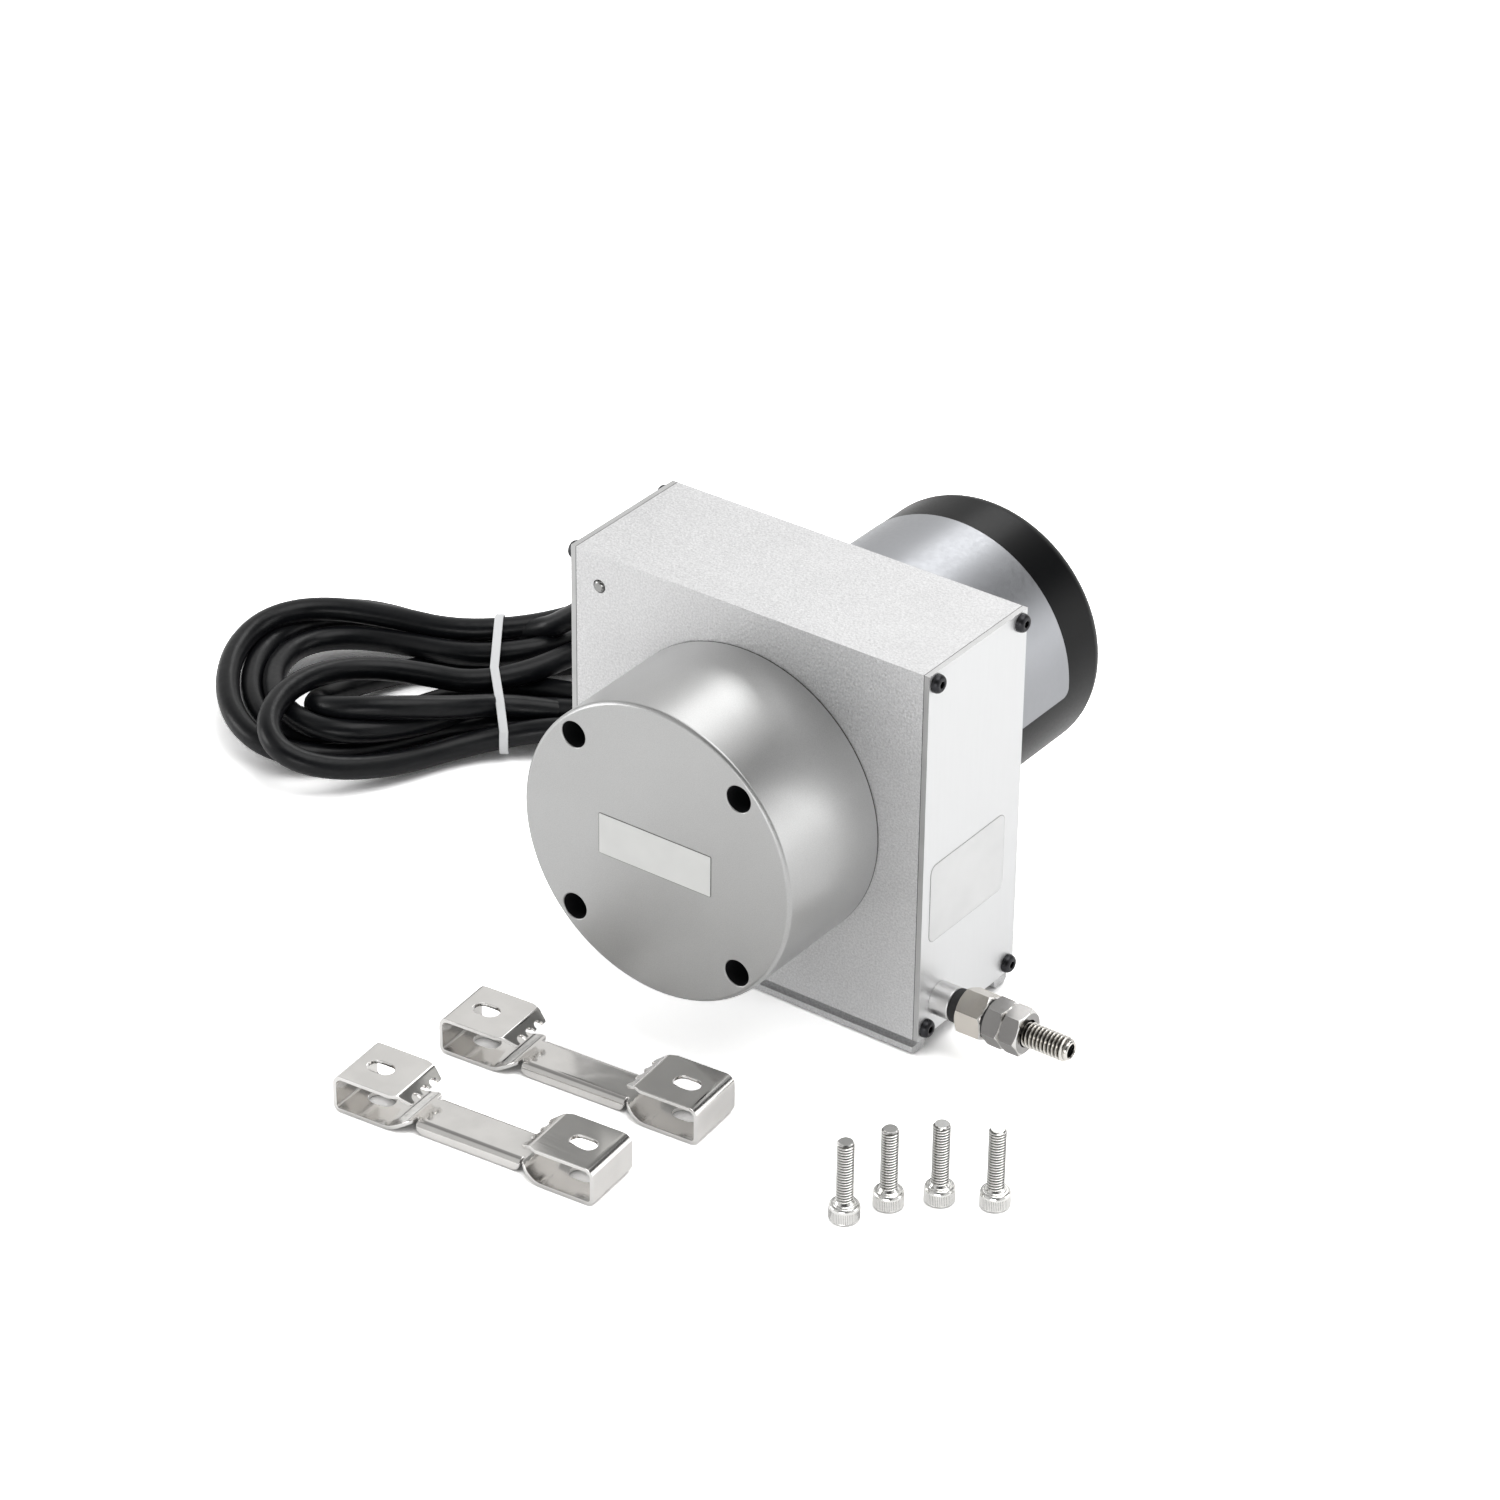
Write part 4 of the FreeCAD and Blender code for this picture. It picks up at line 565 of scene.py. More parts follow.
# each loop: side, far slot (across, height), near slot, reach, middle, half width, lean,
# the two shape powers, and its heights at a quarter, half and three quarters of the way
LOOPS = [
    (-1, (13.8, 8.2), (-5.2, 3.1), 61.8, -7.3, 52.5, 1.6, 1.08, 0.97, (7.5, 8.1, 4.9)),
    (1, (8.0, 10.5), (-5.2, 3.1), 61.4, 1.4, 44.2, 2.3, 0.88, 0.87, (14.7, 11.0, 5.4)),
    (-1, (8.0, 10.5), (-17.2, 3.1), 67.3, -11.5, 54.0, 2.7, 1.09, 0.87, (13.2, 10.5, 5.3)),
    (1, (12.8, 3.1), (-17.2, 3.1), 71.3, -1.8, 52.7, 4.7, 1.00, 0.86, (5.1, 3.3, 3.2)),
    (-1, (12.8, 3.1), (0.8, 3.1), 60.1, 10.0, 52.9, -3.0, 0.92, 0.92, (3.1, 3.1, 3.1)),
    (1, (-1.5, 9.3), (0.8, 3.1), 55.4, 3.3, 34.8, -1.6, 0.88, 0.97, (9.4, 9.5, 9.0)),
    (-1, (-1.5, 9.3), (-11.2, 3.1), 55.6, -12.4, 47.5, 5.8, 0.91, 0.93, (7.8, 9.8, 10.7)),
    (1, (-14.4, 9.6), (-11.2, 3.1), 59.0, -7.2, 37.5, -3.9, 0.93, 0.96, (14.3, 15.3, 13.2)),
    (-1, (-14.4, 9.6), (-23.3, 3.1), 54.2, -33.5, 34.2, -6.9, 0.86, 0.94, (14.1, 15.0, 8.4)),
    (1, (6.8, 3.1), (-23.3, 3.1), 65.8, -10.9, 43.0, 3.5, 1.02, 0.82, (3.5, 7.7, 11.9)),
    (-1, (6.8, 3.1), (-20.4, 8.6), 43.3, -14.9, 29.3, -10.6, 0.67, 0.93, (3.2, 7.7, 14.7)),
]
LOOP_POINTS = 13
TIE_LIFT = 0.8              # how far the tie presses the strands up at the waist, in millimetres
LOWEST = 3.05               # height of the cable's middle on the floor, in millimetres


def on_hank(along, across, height):
    """A point of the hank from its own directions, in millimetres."""
    c, s = math.cos(HANK_TURN), math.sin(HANK_TURN)
    return HANK_AT + Vector((along * c - across * s, along * s + across * c, height)) * MM


def height_between(heights, share):
    """A smooth curve through five heights that are equally far apart."""
    total = 0.0
    for i, height in enumerate(heights):
        weight = 1.0
        for j in range(5):
            if j != i:
                weight *= (share * 4 - j) / (i - j)
        total += weight * height
    return max(total, LOWEST)


def loop_points(loop, backwards):
    """One loop from its far slot under the tie to its near slot, or the other way round."""
    side, (far, far_z), (near, near_z), reach, middle, half, lean, narrow, blunt, rise = loop
    made = []
    for i in range(LOOP_POINTS):
        share = (i + 0.5) / LOOP_POINTS
        swing = math.sin(share * math.pi)
        face = math.cos(share * math.pi)
        open_part = swing ** narrow
        along = side * (reach * swing ** blunt + lean * face * swing)
        straight = (far * (1 + face) + near * (1 - face)) / 2
        across = middle * open_part + face * half * open_part + (1 - open_part) * straight
        height = height_between((far_z, *rise, near_z), share) + TIE_LIFT * math.exp(-(along / 14) ** 2)
        made.append(on_hank(along, across, height))
    return made[::-1] if backwards else made


route = [Vector(EXIT) + Vector(p) for p in LEAD]
for number, loop in enumerate(LOOPS):
    route += loop_points(loop, number % 2 == 1)
route += [on_hank(*p) for p in ((0, -20.4, 9.4), (12, -20.2, 8.2), (26, -19.5, 6.0), (40, -17.0, 3.6),
                                (54, -12.5, 3.1), (64, -8.0, 3.1), (72.6, -4.0, 3.1))]


def lay_cable():
    data = bpy.data.curves.new("encoder_cable", "CURVE")
    data.dimensions = "3D"
    data.bevel_depth = CABLE_RADIUS
    data.bevel_resolution = 6
    data.resolution_u = 8
    data.use_fill_caps = True
    line = data.splines.new("NURBS")
    line.points.add(len(route) - 1)
    for point, at in zip(line.points, route):
        point.co = (*at, 1)
    line.order_u = 3
    line.use_endpoint_u = True
    data.materials.append(SHEATH)
    cable = bpy.data.objects.new("encoder_cable", data)
    bpy.context.scene.collection.objects.link(cable)
    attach(cable, FIXED)
    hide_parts("cable_lead", "cable_hank")
    return cable


cable = lay_cable()

# ---- rings, threads and plates that several pieces share

def edge_ring(bm, kind, size, height, count, lean=0.0):
    """A loop of count edges round local Z: round by radius, or hex by half its width across flats.

    lean bends a hexagon's corners along Z, as a turned corner does."""
    before = set(bm.edges)
    if kind == "round":
        bmesh.ops.create_circle(bm, segments=count, radius=size)
    else:
        bmesh.ops.create_circle(bm, segments=6, radius=size / math.cos(math.pi / 6))
        sides = [e for e in bm.edges if e not in before]
        bmesh.ops.subdivide_edges(bm, edges=sides, cuts=count // 6 - 1)
    loop = [e for e in bm.edges if e not in before]
    for vert in {v for e in loop for v in e.verts}:
        vert.co.z = height + lean * (math.hypot(vert.co.x, vert.co.y) - size)
    return loop


def stacked(rings, count=48, closed=False):
    """Walls between rings, each (kind, size, height) or with a lean; ends are filled unless closed."""
    bm = bmesh.new()
    loops = [edge_ring(bm, *spec[:3], count, *spec[3:]) for spec in rings]
    pairs = list(zip(loops, loops[1:]))
    if closed:
        pairs.append((loops[-1], loops[0]))
    for one, other in pairs:
        bmesh.ops.bridge_loops(bm, edges=one + other)
    if not closed:
        bmesh.ops.edgeloop_fill(bm, edges=loops[0])
        bmesh.ops.edgeloop_fill(bm, edges=loops[-1])
    return outward(bm)


def with_more(bm, *others):
    """Adds other bmeshes to the first one."""
    for other in others:
        mesh = bpy.data.meshes.new("more")
        other.to_mesh(mesh)
        other.free()
        bm.from_mesh(mesh)
        bpy.data.meshes.remove(mesh)
    return bm


def threaded(radius, root, pitch, length, tip, bore=0.0, steps=28):
    """A right-hand thread along local Z from 0, turned down over its last tip, with an optional bore."""
    bm = bmesh.new()
    slope = ((root, 0), (root, 0.13), (radius, 0.46), (radius, 0.60), (root, 0.93), (root, 1))
    verts = [bm.verts.new((r, 0, (z - 1.5) * pitch)) for r, z in slope]
    line = [bm.edges.new(pair) for pair in zip(verts, verts[1:])]
    turns = int(length / pitch) + 3
    bmesh.ops.spin(bm, geom=verts + line, axis=(0, 0, 1), cent=(0, 0, 0), dvec=(0, 0, pitch / steps),
                   steps=steps * turns, angle=math.tau * turns, use_merge=False, use_duplicate=False)
    bmesh.ops.remove_doubles(bm, verts=bm.verts, dist=pitch * 0.01)
    for height, sign in ((0, 1), (length, -1)):
        cut_through(bm, (0, 0, height), (0, 0, sign), clear_inner=True)
    for vert in bm.verts:
        most = radius - max(0.0, vert.co.z - (length - tip)) * 0.9
        away = math.hypot(vert.co.x, vert.co.y)
        if away > most:
            vert.co.x *= most / away
            vert.co.y *= most / away
    ends = [e for e in bm.edges if e.is_boundary]
    low = [e for e in ends if e.verts[0].co.z < length / 2]
    high = [e for e in ends if e.verts[0].co.z > length / 2]
    bmesh.ops.edgeloop_fill(bm, edges=low)
    if bore:
        mouth = edge_ring(bm, "round", bore + 0.0002, length, 32)
        bmesh.ops.triangle_fill(bm, use_beauty=True, edges=high + mouth)
        inside = edge_ring(bm, "round", bore, length - 0.0003, 32)
        deep = edge_ring(bm, "round", bore, length * 0.1, 32)
        bmesh.ops.bridge_loops(bm, edges=mouth + inside)
        bmesh.ops.bridge_loops(bm, edges=inside + deep)
        bmesh.ops.edgeloop_fill(bm, edges=deep)
    else:
        bmesh.ops.edgeloop_fill(bm, edges=high)
    return outward(bm)


def button_head(radius, height, socket, deep):
    """A domed black screw head with a hexagon socket, seated at local Z 0."""
    rings = [("round", radius, 0), ("round", radius, height * 0.18)]
    for share in (0.15, 0.35, 0.55, 0.75, 0.92):
        bend = share * math.pi / 2
        rings.append(("round", radius * (0.62 + 0.38 * math.cos(bend)),
                      height * (0.18 + 0.82 * math.sin(bend))))
    rings += [("round", socket * 1.32, height), ("hex", socket * 1.02, height - 0.00008),
              ("hex", socket, height - 0.0002), ("hex", socket, height - deep)]
    return stacked(rings, 36)


def plate(width, height, thick, corner):
    """A thin plate round the local origin with rounded corners, its face up."""
    bm = bmesh.new()
    bmesh.ops.create_grid(bm, x_segments=1, y_segments=1, size=0.5)
    bmesh.ops.scale(bm, vec=(width, height, 1), verts=bm.verts)
    bmesh.ops.bevel(bm, geom=bm.verts[:], offset=corner, offset_type="OFFSET", segments=5, profile=0.5,
                    affect="VERTICES", material=-1)
    thickened(bm, thick)
    return outward(bm)


# ---- box, covers, spring drum and cap: the CAD shapes with their edges broken

def on_outside(edge):
    return all(abs(v.co.y) > 0.0175 or v.co.z < 0.0045 or v.co.z > 0.098 for v in edge.verts)


def dressed(node, finish, body, width, segments=2, bend=40, wanted=None, new_name=None):
    bm = softened(copied(node), width, segments, bend, wanted)
    return add_piece(new_name or node + "_made", bm, finish, body, [node])


box = softened(copied("housing_extrusion"), 0.00028, 2, 40, on_outside)
# Painted highlight: the rounded top edges take the brighter edge finish, as a thin light line.
painted(box, 1, lambda f: 0.12 < abs(f.normal.z) < 0.99 and abs(f.normal.x) < 0.1
        and f.calc_center_median().z > 0.09)
add_piece("box_extrusion", box, (ALUMINIUM, EDGE_HIGHLIGHT_ALUMINIUM), FIXED, ["housing_extrusion"])

JOINT_LINE = 0.00016
for side, node in ((1, "right_end_cover"), (-1, "left_end_cover")):
    bm = softened(copied(node), 0.00018)
    low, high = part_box(node)
    joint = low[0] if side > 0 else high[0]
    cut_through(bm, (joint + side * JOINT_LINE, 0, 0), (1, 0, 0))
    painted(bm, 1, lambda f: abs(f.normal.x) < 0.5)
    painted(bm, 2, lambda f: abs(f.normal.x) < 0.5 and abs(f.calc_center_median().x - joint) < JOINT_LINE)
    add_piece(node + "_made", bm, (COVER, CUT_EDGE, JOINT_DARK), FIXED, [node])

BORE_OFFSET = 0.02247
BORE_RADIUS = 0.0032
CASE_JOINT = 0.00030


def from_bore(point):
    """How far a point is from the axis of the nearest screw bore of the spring drum."""
    return math.hypot(abs(point.x) - BORE_OFFSET, abs(point.z - AXIS_Z) - BORE_OFFSET)


case = softened(copied("spring_housing"), 0.0003, 3, 30, lambda e: all(v.co.y < -0.050 for v in e.verts))
# Painted shade: the walls of the drum's screw bores take the near-black bore finish.
painted(case, 1, lambda f: from_bore(f.calc_center_median()) < BORE_RADIUS * 1.001
        and f.calc_center_median().y > -0.0518)
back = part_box("housing_extrusion")[0][1]
cut_through(case, (0, back - CASE_JOINT, 0), (0, 1, 0))
painted(case, 2, lambda f: abs(f.normal.y) < 0.5 and f.calc_center_median().y > back - CASE_JOINT
        and math.hypot(f.calc_center_median().x, f.calc_center_median().z - AXIS_Z) > 0.034)
add_piece("spring_drum_case", case, (DRUM_ALUMINIUM, BORE_SHADE_BLACK, JOINT_DARK), FIXED,
          ["spring_housing"])
dressed("encoder_cap", CAP_BLACK, FIXED, 0.0003, 2, 40)

# ---- screws of the covers and of the cap

COVER_SCREWS = [(y, z) for y in (-0.01645, 0.01645) for z in (0.0068, 0.096577)]
CAP_SCREW_CIRCLE = 0.023
CAP_END = 0.07955


def button_screw(place, turn, twist):
    """A black button head screw with its shank down the hole; twist turns its socket."""
    head = button_head(0.00222, 0.0017, 0.00078, 0.0011)
    shank = threaded(0.00125, 0.00098, 0.00045, 0.0078, 0.0003, steps=16)
    shank.transform(Matrix.Rotation(math.pi, 4, "X"))
    return put(with_more(head, shank), place, turn @ Matrix.Rotation(twist, 4, "Z"))


for side, node, turn in ((1, "right_cover_screws", ALONG_X),
                         (-1, "left_cover_screws", Matrix.Rotation(math.pi, 4, "Z") @ ALONG_X)):
    heads = [button_screw((side * COVER_OUT, y, z), turn, 0.4 + number * 1.9)
             for number, (y, z) in enumerate(COVER_SCREWS)]
    add_piece(node.replace("screws", "button_screws"), with_more(*heads), BLACK_STEEL, FIXED, [node],
              40)

heads = []
for number, angle in enumerate((30, 150, 270)):
    x, z = (CAP_SCREW_CIRCLE * f(math.radians(angle)) for f in (math.cos, math.sin))
    heads.append(button_screw((x, CAP_END, AXIS_Z + z), ALONG_Y, number * 1.3))
add_piece("cap_button_screws", with_more(*heads), BLACK_STEEL, FIXED, ["cap_screws"], 40)

# ---- front pin: a domed end in a dark ring

low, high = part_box("front_face_pin")
pin_x, pin_z = (low[0] + high[0]) / 2, (low[2] + high[2]) / 2
pin = spun([(0, 0), (0.0022, 0), (0.0022, 0.0007), (0.0015, 0.0007), (0.0015, 0.0031), (0.00138, 0.00335),
            (0.0011, 0.0036), (0.00085, 0.0037), (0, 0.00372)], 40)
painted(pin, 1, lambda f: f.calc_center_median().z < 0.0030)
add_piece("domed_pin", put(pin, (pin_x, -0.01585, pin_z), Matrix.Rotation(math.pi, 4, "Z") @ ALONG_Y),
          (PIN_STEEL, JOINT_DARK), FIXED, ["front_face_pin"])

# ---- blank labels: spring drum, right cover, and the foil round the cap

# each film lies on a slightly larger dark plate that shows as its outline
OUTLINE = 0.00016
FILM_THICK = 0.00012
LABEL = moulded_finish("label_foil", (0.80, 0.805, 0.79), 0.40, 700, 0.03)
COVER_LABEL = moulded_finish("cover_label_film", (0.92, 0.93, 0.93), 0.36, 700, 0.02,
                             Specular_IOR_Level=0.8)
LABEL_EDGE = moulded_finish("label_edge", (0.16, 0.16, 0.155), 0.50, 700, 0.03)
COVER_LABEL_EDGE = moulded_finish("cover_label_edge", (0.42, 0.42, 0.42), 0.45, 700, 0.03)
CAP_FOIL = foil_finish()

FACE_ON = Matrix.Rotation(math.pi / 2, 4, "X")
for name, size, corner, place, turn, film in (
        ("drum_label", (0.0306, 0.0102), 0.0003, (-0.0001, -0.05235, 0.0523), FACE_ON, (LABEL, LABEL_EDGE)),
        ("cover_label", (0.029, 0.020), 0.0019, (COVER_OUT, -0.0015, 0.039), ALONG_X,
         (COVER_LABEL, COVER_LABEL_EDGE))):
    under = plate(size[0] + OUTLINE * 2, size[1] + OUTLINE * 2, FILM_THICK - 0.00005, corner + OUTLINE)
    whole = with_more(plate(*size, FILM_THICK, corner), painted(under, 1, lambda f: True))
    add_piece(name, put(whole, place, turn), film, FIXED)


def wrapped_label(start, end, near, far, radius, thick):
    """A foil with rounded corners laid round the cap, between two angles in degrees from +X."""
    arc = math.radians(end - start) * radius
    bm = plate(arc, far - near, thick, 0.002)
    steps = 60
    for i in range(1, steps):
        cut_through(bm, (arc * (i / steps - 0.5), 0, 0), (1, 0, 0))
    middle = math.radians((start + end) / 2)
    for vert in bm.verts:
        angle = middle + vert.co.x / radius
        away = radius + vert.co.z
        vert.co = (away * math.cos(angle), (near + far) / 2 + vert.co.y, AXIS_Z + away * math.sin(angle))
    return outward(bm)


add_piece("cap_label", wrapped_label(-4.6, 214, 0.0212, 0.0637, 0.03266, FILM_THICK), CAP_FOIL,
          FIXED)

# ---- wire outlet: bush, buffer

dressed("outlet_bush", BUSH_STEEL, FIXED, 0.00015, 2, 40)
buffer = spun([(0.0015, 0), (0.0037, 0), (0.0040, 0.0002), (0.00405, 0.0006), (0.00405, 0.0020),
               (0.0039, 0.0024), (0.0036, 0.0025), (0.0015, 0.0025)], 64)
add_piece("buffer_ring", put(buffer, (COVER_OUT + 0.005, WIRE_Y, WIRE_Z), ALONG_X), RUBBER, FIXED,
          ["rubber_buffer"])

# ---- pull stud and lock nuts

SLOPE = -math.tan(math.radians(30))
STUD_AT = COVER_OUT + 0.00755
FLAT = 0.005


def hexagon_bar(length, low_bore, high_bore):
    """A nut or a bolt head along local Z with turned corners at both ends."""
    seat = FLAT * 0.955
    drop = (FLAT - seat) * SLOPE
    return stacked([
        ("round", low_bore, 0.0002), ("round", low_bore + 0.0002, 0), ("round", seat, 0),
        ("hex", FLAT, -drop, -SLOPE), ("hex", FLAT, length + drop, SLOPE), ("round", seat, length),
        ("round", high_bore + 0.0004, length), ("round", high_bore, length - 0.0004)], 72, closed=True)


def corners_bright(bm):
    """The turned corners and the bore's mouth take the second finish."""
    return painted(bm, 1, lambda f: 0.05 < abs(f.normal.z) < 0.97)


THREAD_RADIUS = 0.00298
THREAD_ROOT = 0.00232
STUD_TIP = 0.0270
NUT_HEIGHT = 0.00465
FIRST_NUT = 0.0073


def stud_groove_shade(point):
    """Depth in the stud's thread, for the shade painted in its grooves; its plain tip is all crest."""
    if point.x > STUD_AT + STUD_TIP:
        return 0.0
    away = math.hypot(point.y - WIRE_Y, point.z - WIRE_Z)
    return min(1.0, max(0.0, (THREAD_RADIUS - away) / (THREAD_RADIUS - THREAD_ROOT)))


hexagon = corners_bright(hexagon_bar(0.00695, 0.0005, 0.0024))
hexagon.transform(Matrix.Rotation(math.radians(35 - 90), 4, "Z"))
add_piece("stud_hexagon", put(hexagon, (STUD_AT, WIRE_Y, WIRE_Z), ALONG_X), (HEX_STEEL, CORNER_STEEL),
          "pull_end", ["pull_stud"], 30)
thread = threaded(THREAD_RADIUS, THREAD_ROOT, 0.001, 0.0214, 0.0006, 0.0016, 36)
bmesh.ops.translate(thread, vec=(0, 0, 0.0062), verts=thread.verts)
# Painted shade: the bore down the stud's middle takes the near-black bore finish.
painted(thread, 1, lambda f: f.calc_center_median().xy.length < 0.00165)
collar = spun([(0.0016, 0.0270), (0.0024, 0.0270), (0.0024, 0.0277), (0.00225, 0.0280), (0.00205, 0.02815),
               (0.0018, 0.02815), (0.0016, 0.0279)], 48)
add_piece("stud_thread", put(with_more(thread, collar), (STUD_AT, WIRE_Y, WIRE_Z), ALONG_X),
          (STUD_STEEL_GROOVE_SHADED, BORE_SHADE_BLACK), "pull_end", (), 30, stud_groove_shade)

nuts = []
for number in range(2):
    nut = corners_bright(hexagon_bar(NUT_HEIGHT, 0.0029, 0.0029))
    nut.transform(Matrix.Rotation(math.radians(3 - 90), 4, "Z"))
    nuts.append(put(nut, (STUD_AT + FIRST_NUT + number * NUT_HEIGHT, WIRE_Y, WIRE_Z), ALONG_X))
add_piece("lock_nuts_made", with_more(*nuts), (NUT_STEEL, CORNER_STEEL), "pull_end", ["lock_nuts"], 30)

# ---- loose cap screws with knurled heads, standing on their heads

SCREWS = [(0.07028, -0.07799), (0.07513, -0.06838), (0.08293, -0.06024), (0.09353, -0.05455)]
TEETH = 54                  # knurls round a head


def cap_screw(twist):
    head = stacked([
        ("hex", 0.0015, 0.0022), ("hex", 0.0015, 0.0001), ("round", 0.0021, 0), ("round", 0.0031, 0),
        ("round", 0.00335, 0.0001), ("round", 0.0035, 0.00035), ("round", 0.0035, 0.0005),
        ("round", 0.0035, 0.0028), ("round", 0.00348, 0.0031), ("round", 0.00335, 0.0036),
        ("round", 0.0031, 0.0039), ("round", 0.00285, 0.004), ("round", 0.00275, 0.00392),
        ("round", 0.0026, 0.00392), ("round", 0.0025, 0.00408), ("round", 0.00225, 0.0042),
        ("round", 0.0020, 0.0046), ("round", 0.0017, 0.0049)], TEETH * 2)
    for vert in head.verts:
        away = math.hypot(vert.co.x, vert.co.y)
        if away > 0.00345 and 0.0004 < vert.co.z < 0.0030:
            tooth = round(math.atan2(vert.co.y, vert.co.x) / math.tau * TEETH * 2) % 2
            vert.co.x *= 1 - 0.040 * tooth
            vert.co.y *= 1 - 0.040 * tooth
    thread = threaded(0.00198, 0.00156, 0.0007, 0.0156, 0.00045, steps=28)
    bmesh.ops.translate(thread, vec=(0, 0, 0.0044), verts=thread.verts)
    screw = with_more(head, thread)
    screw.transform(Matrix.Rotation(twist, 4, "Z"))
    return screw


screws = [put(cap_screw(0.7 * i), (x, y, 0)) for i, (x, y) in enumerate(SCREWS)]


def screw_groove_shade(point):
    """Depth in the thread above the head, or in the knurl round it, for the shade painted in those grooves.
    """
    away = min(math.hypot(point.x - x, point.y - y) for x, y in SCREWS)
    if point.z > 0.0049:
        return min(1.0, max(0.0, (0.00198 - away) / 0.00042)) if point.z < 0.0198 else 0.0
    return min(0.6, max(0.0, (0.0035 - away) / 0.00022)) if 0.0004 < point.z < 0.0030 else 0.0


add_piece("cap_screws_made", with_more(*screws), SCREW_STEEL_GROOVE_SHADED, FIXED, ["clamp_screws"], 30, screw_groove_shade)

# ---- clamps: one blank with slots and toothed lips, cut flat and then bent

CLAMPS = [("mounting_clamp_near", "toothed_clamp_near", (-0.00960, -0.10253), 4.76),
          ("mounting_clamp_far", "toothed_clamp_far", (-0.00515, -0.07101), 4.58)]
SHEET = 0.001
STRIP_HEIGHT = 0.0028
FOLD_AT = 0.0037
FOLD_RADIUS = 0.0016
FOLD_END = 0.0136
# runs of the bent sheet from the middle outwards: length, then the bend after it as radius and degrees
SHEET_RUNS = [(0.0145, 0.0020, -27), (0.00308, 0.0062, 27), (0.01163, 0.0011, 90), (0.0055, 0.0019, 90),
              (0.0140, 0.0013, 33), (0.0030, 0.0010, 0)]


def bent_sheet():
    """Stations along the blank: (distance, x, z, direction, turning rate after it)."""
    stations = []
    away, x, z, heading = 0.0, 0.0, STRIP_HEIGHT, 0.0
    for length, radius, degrees in SHEET_RUNS:
        stations.append((away, x, z, heading, 0.0))
        away += length
        x += length * math.cos(heading)
        z += length * math.sin(heading)
        bend = math.radians(degrees)
        if not bend:
            continue
        rate = math.copysign(1 / radius, bend)
        stations.append((away, x, z, heading, rate))
        x += (math.sin(heading + bend) - math.sin(heading)) / rate
        z -= (math.cos(heading + bend) - math.cos(heading)) / rate
        away += abs(bend) * radius
        heading += bend
    stations.append((away, x, z, heading, 0.0))
    return stations


STATIONS = bent_sheet()


def on_sheet(u, v, lift):
    """The place of a blank's point once the sheet is bent; lift is measured from its middle layer."""
    away = abs(u)
    start, x, z, heading, rate = [s for s in STATIONS if s[0] <= away + 1e-9][-1]
    turned_by = (away - start) * rate
    if rate:
        x += (math.sin(heading + turned_by) - math.sin(heading)) / rate
        z -= (math.cos(heading + turned_by) - math.cos(heading)) / rate
    else:
        x += (away - start) * math.cos(heading)
        z += (away - start) * math.sin(heading)
    heading += turned_by
    side = abs(v)
    if side > FOLD_AT and away < FOLD_END + 0.0004:
        past = side - FOLD_AT
        turn = min(past / FOLD_RADIUS, math.pi / 2)
        drop = max(0.0, past - FOLD_RADIUS * math.pi / 2)
        side = FOLD_AT + (FOLD_RADIUS + lift) * math.sin(turn)
        z += (FOLD_RADIUS + lift) * math.cos(turn) - FOLD_RADIUS - drop
        lift = 0.0
    return Vector((math.copysign(x - lift * math.sin(heading), u), math.copysign(side, v),
                   z + lift * math.cos(heading)))


def rounded_corner(centre, radius, start, end, steps=6):
    angles = [math.radians(start + (end - start) * i / steps) for i in range(steps + 1)]
    return [(centre[0] + radius * math.cos(a), centre[1] + radius * math.sin(a)) for a in angles]


def blank_outline():
    """One quarter of the flat blank's outline, from the fold's middle to the middle of the lip."""
    flange = FOLD_AT + FOLD_RADIUS * math.pi / 2 + 0.0011
    tip = STATIONS[-1][0]
    quarter = [(0.0, flange)] + rounded_corner((FOLD_END - 0.0019, flange - 0.0019), 0.0019, 90, 0)
    neck = FOLD_AT + 0.0006
    quarter += [(FOLD_END, neck + 0.0004)] + rounded_corner((FOLD_END + 0.00035, neck), 0.00035, 180, 360)
    quarter += [(FOLD_END + 0.0007, 0.0054), (0.0148, 0.0062), (0.0160, 0.0070), (0.0175, 0.0076),
                (0.0192, 0.0079)]
    lip = STATIONS[-3][0] - 0.0014
    quarter += [(lip, 0.0079), (tip - 0.0003, 0.0059), (tip, 0.0056)]
    for across in (0.0034, 0.0):
        quarter += [(tip, across + 0.00125)]
        quarter += rounded_corner((tip - 0.0004, across), 0.00125, 90, 270, 10)
        quarter += [(tip, across - 0.00125)]
    return [p for p in quarter if p[1] >= 0]


def closed_line(bm, points):
    verts = [bm.verts.new((*p, 0)) for p in points]
    for pair in zip(verts, verts[1:] + verts[:1]):
        bm.edges.new(pair)


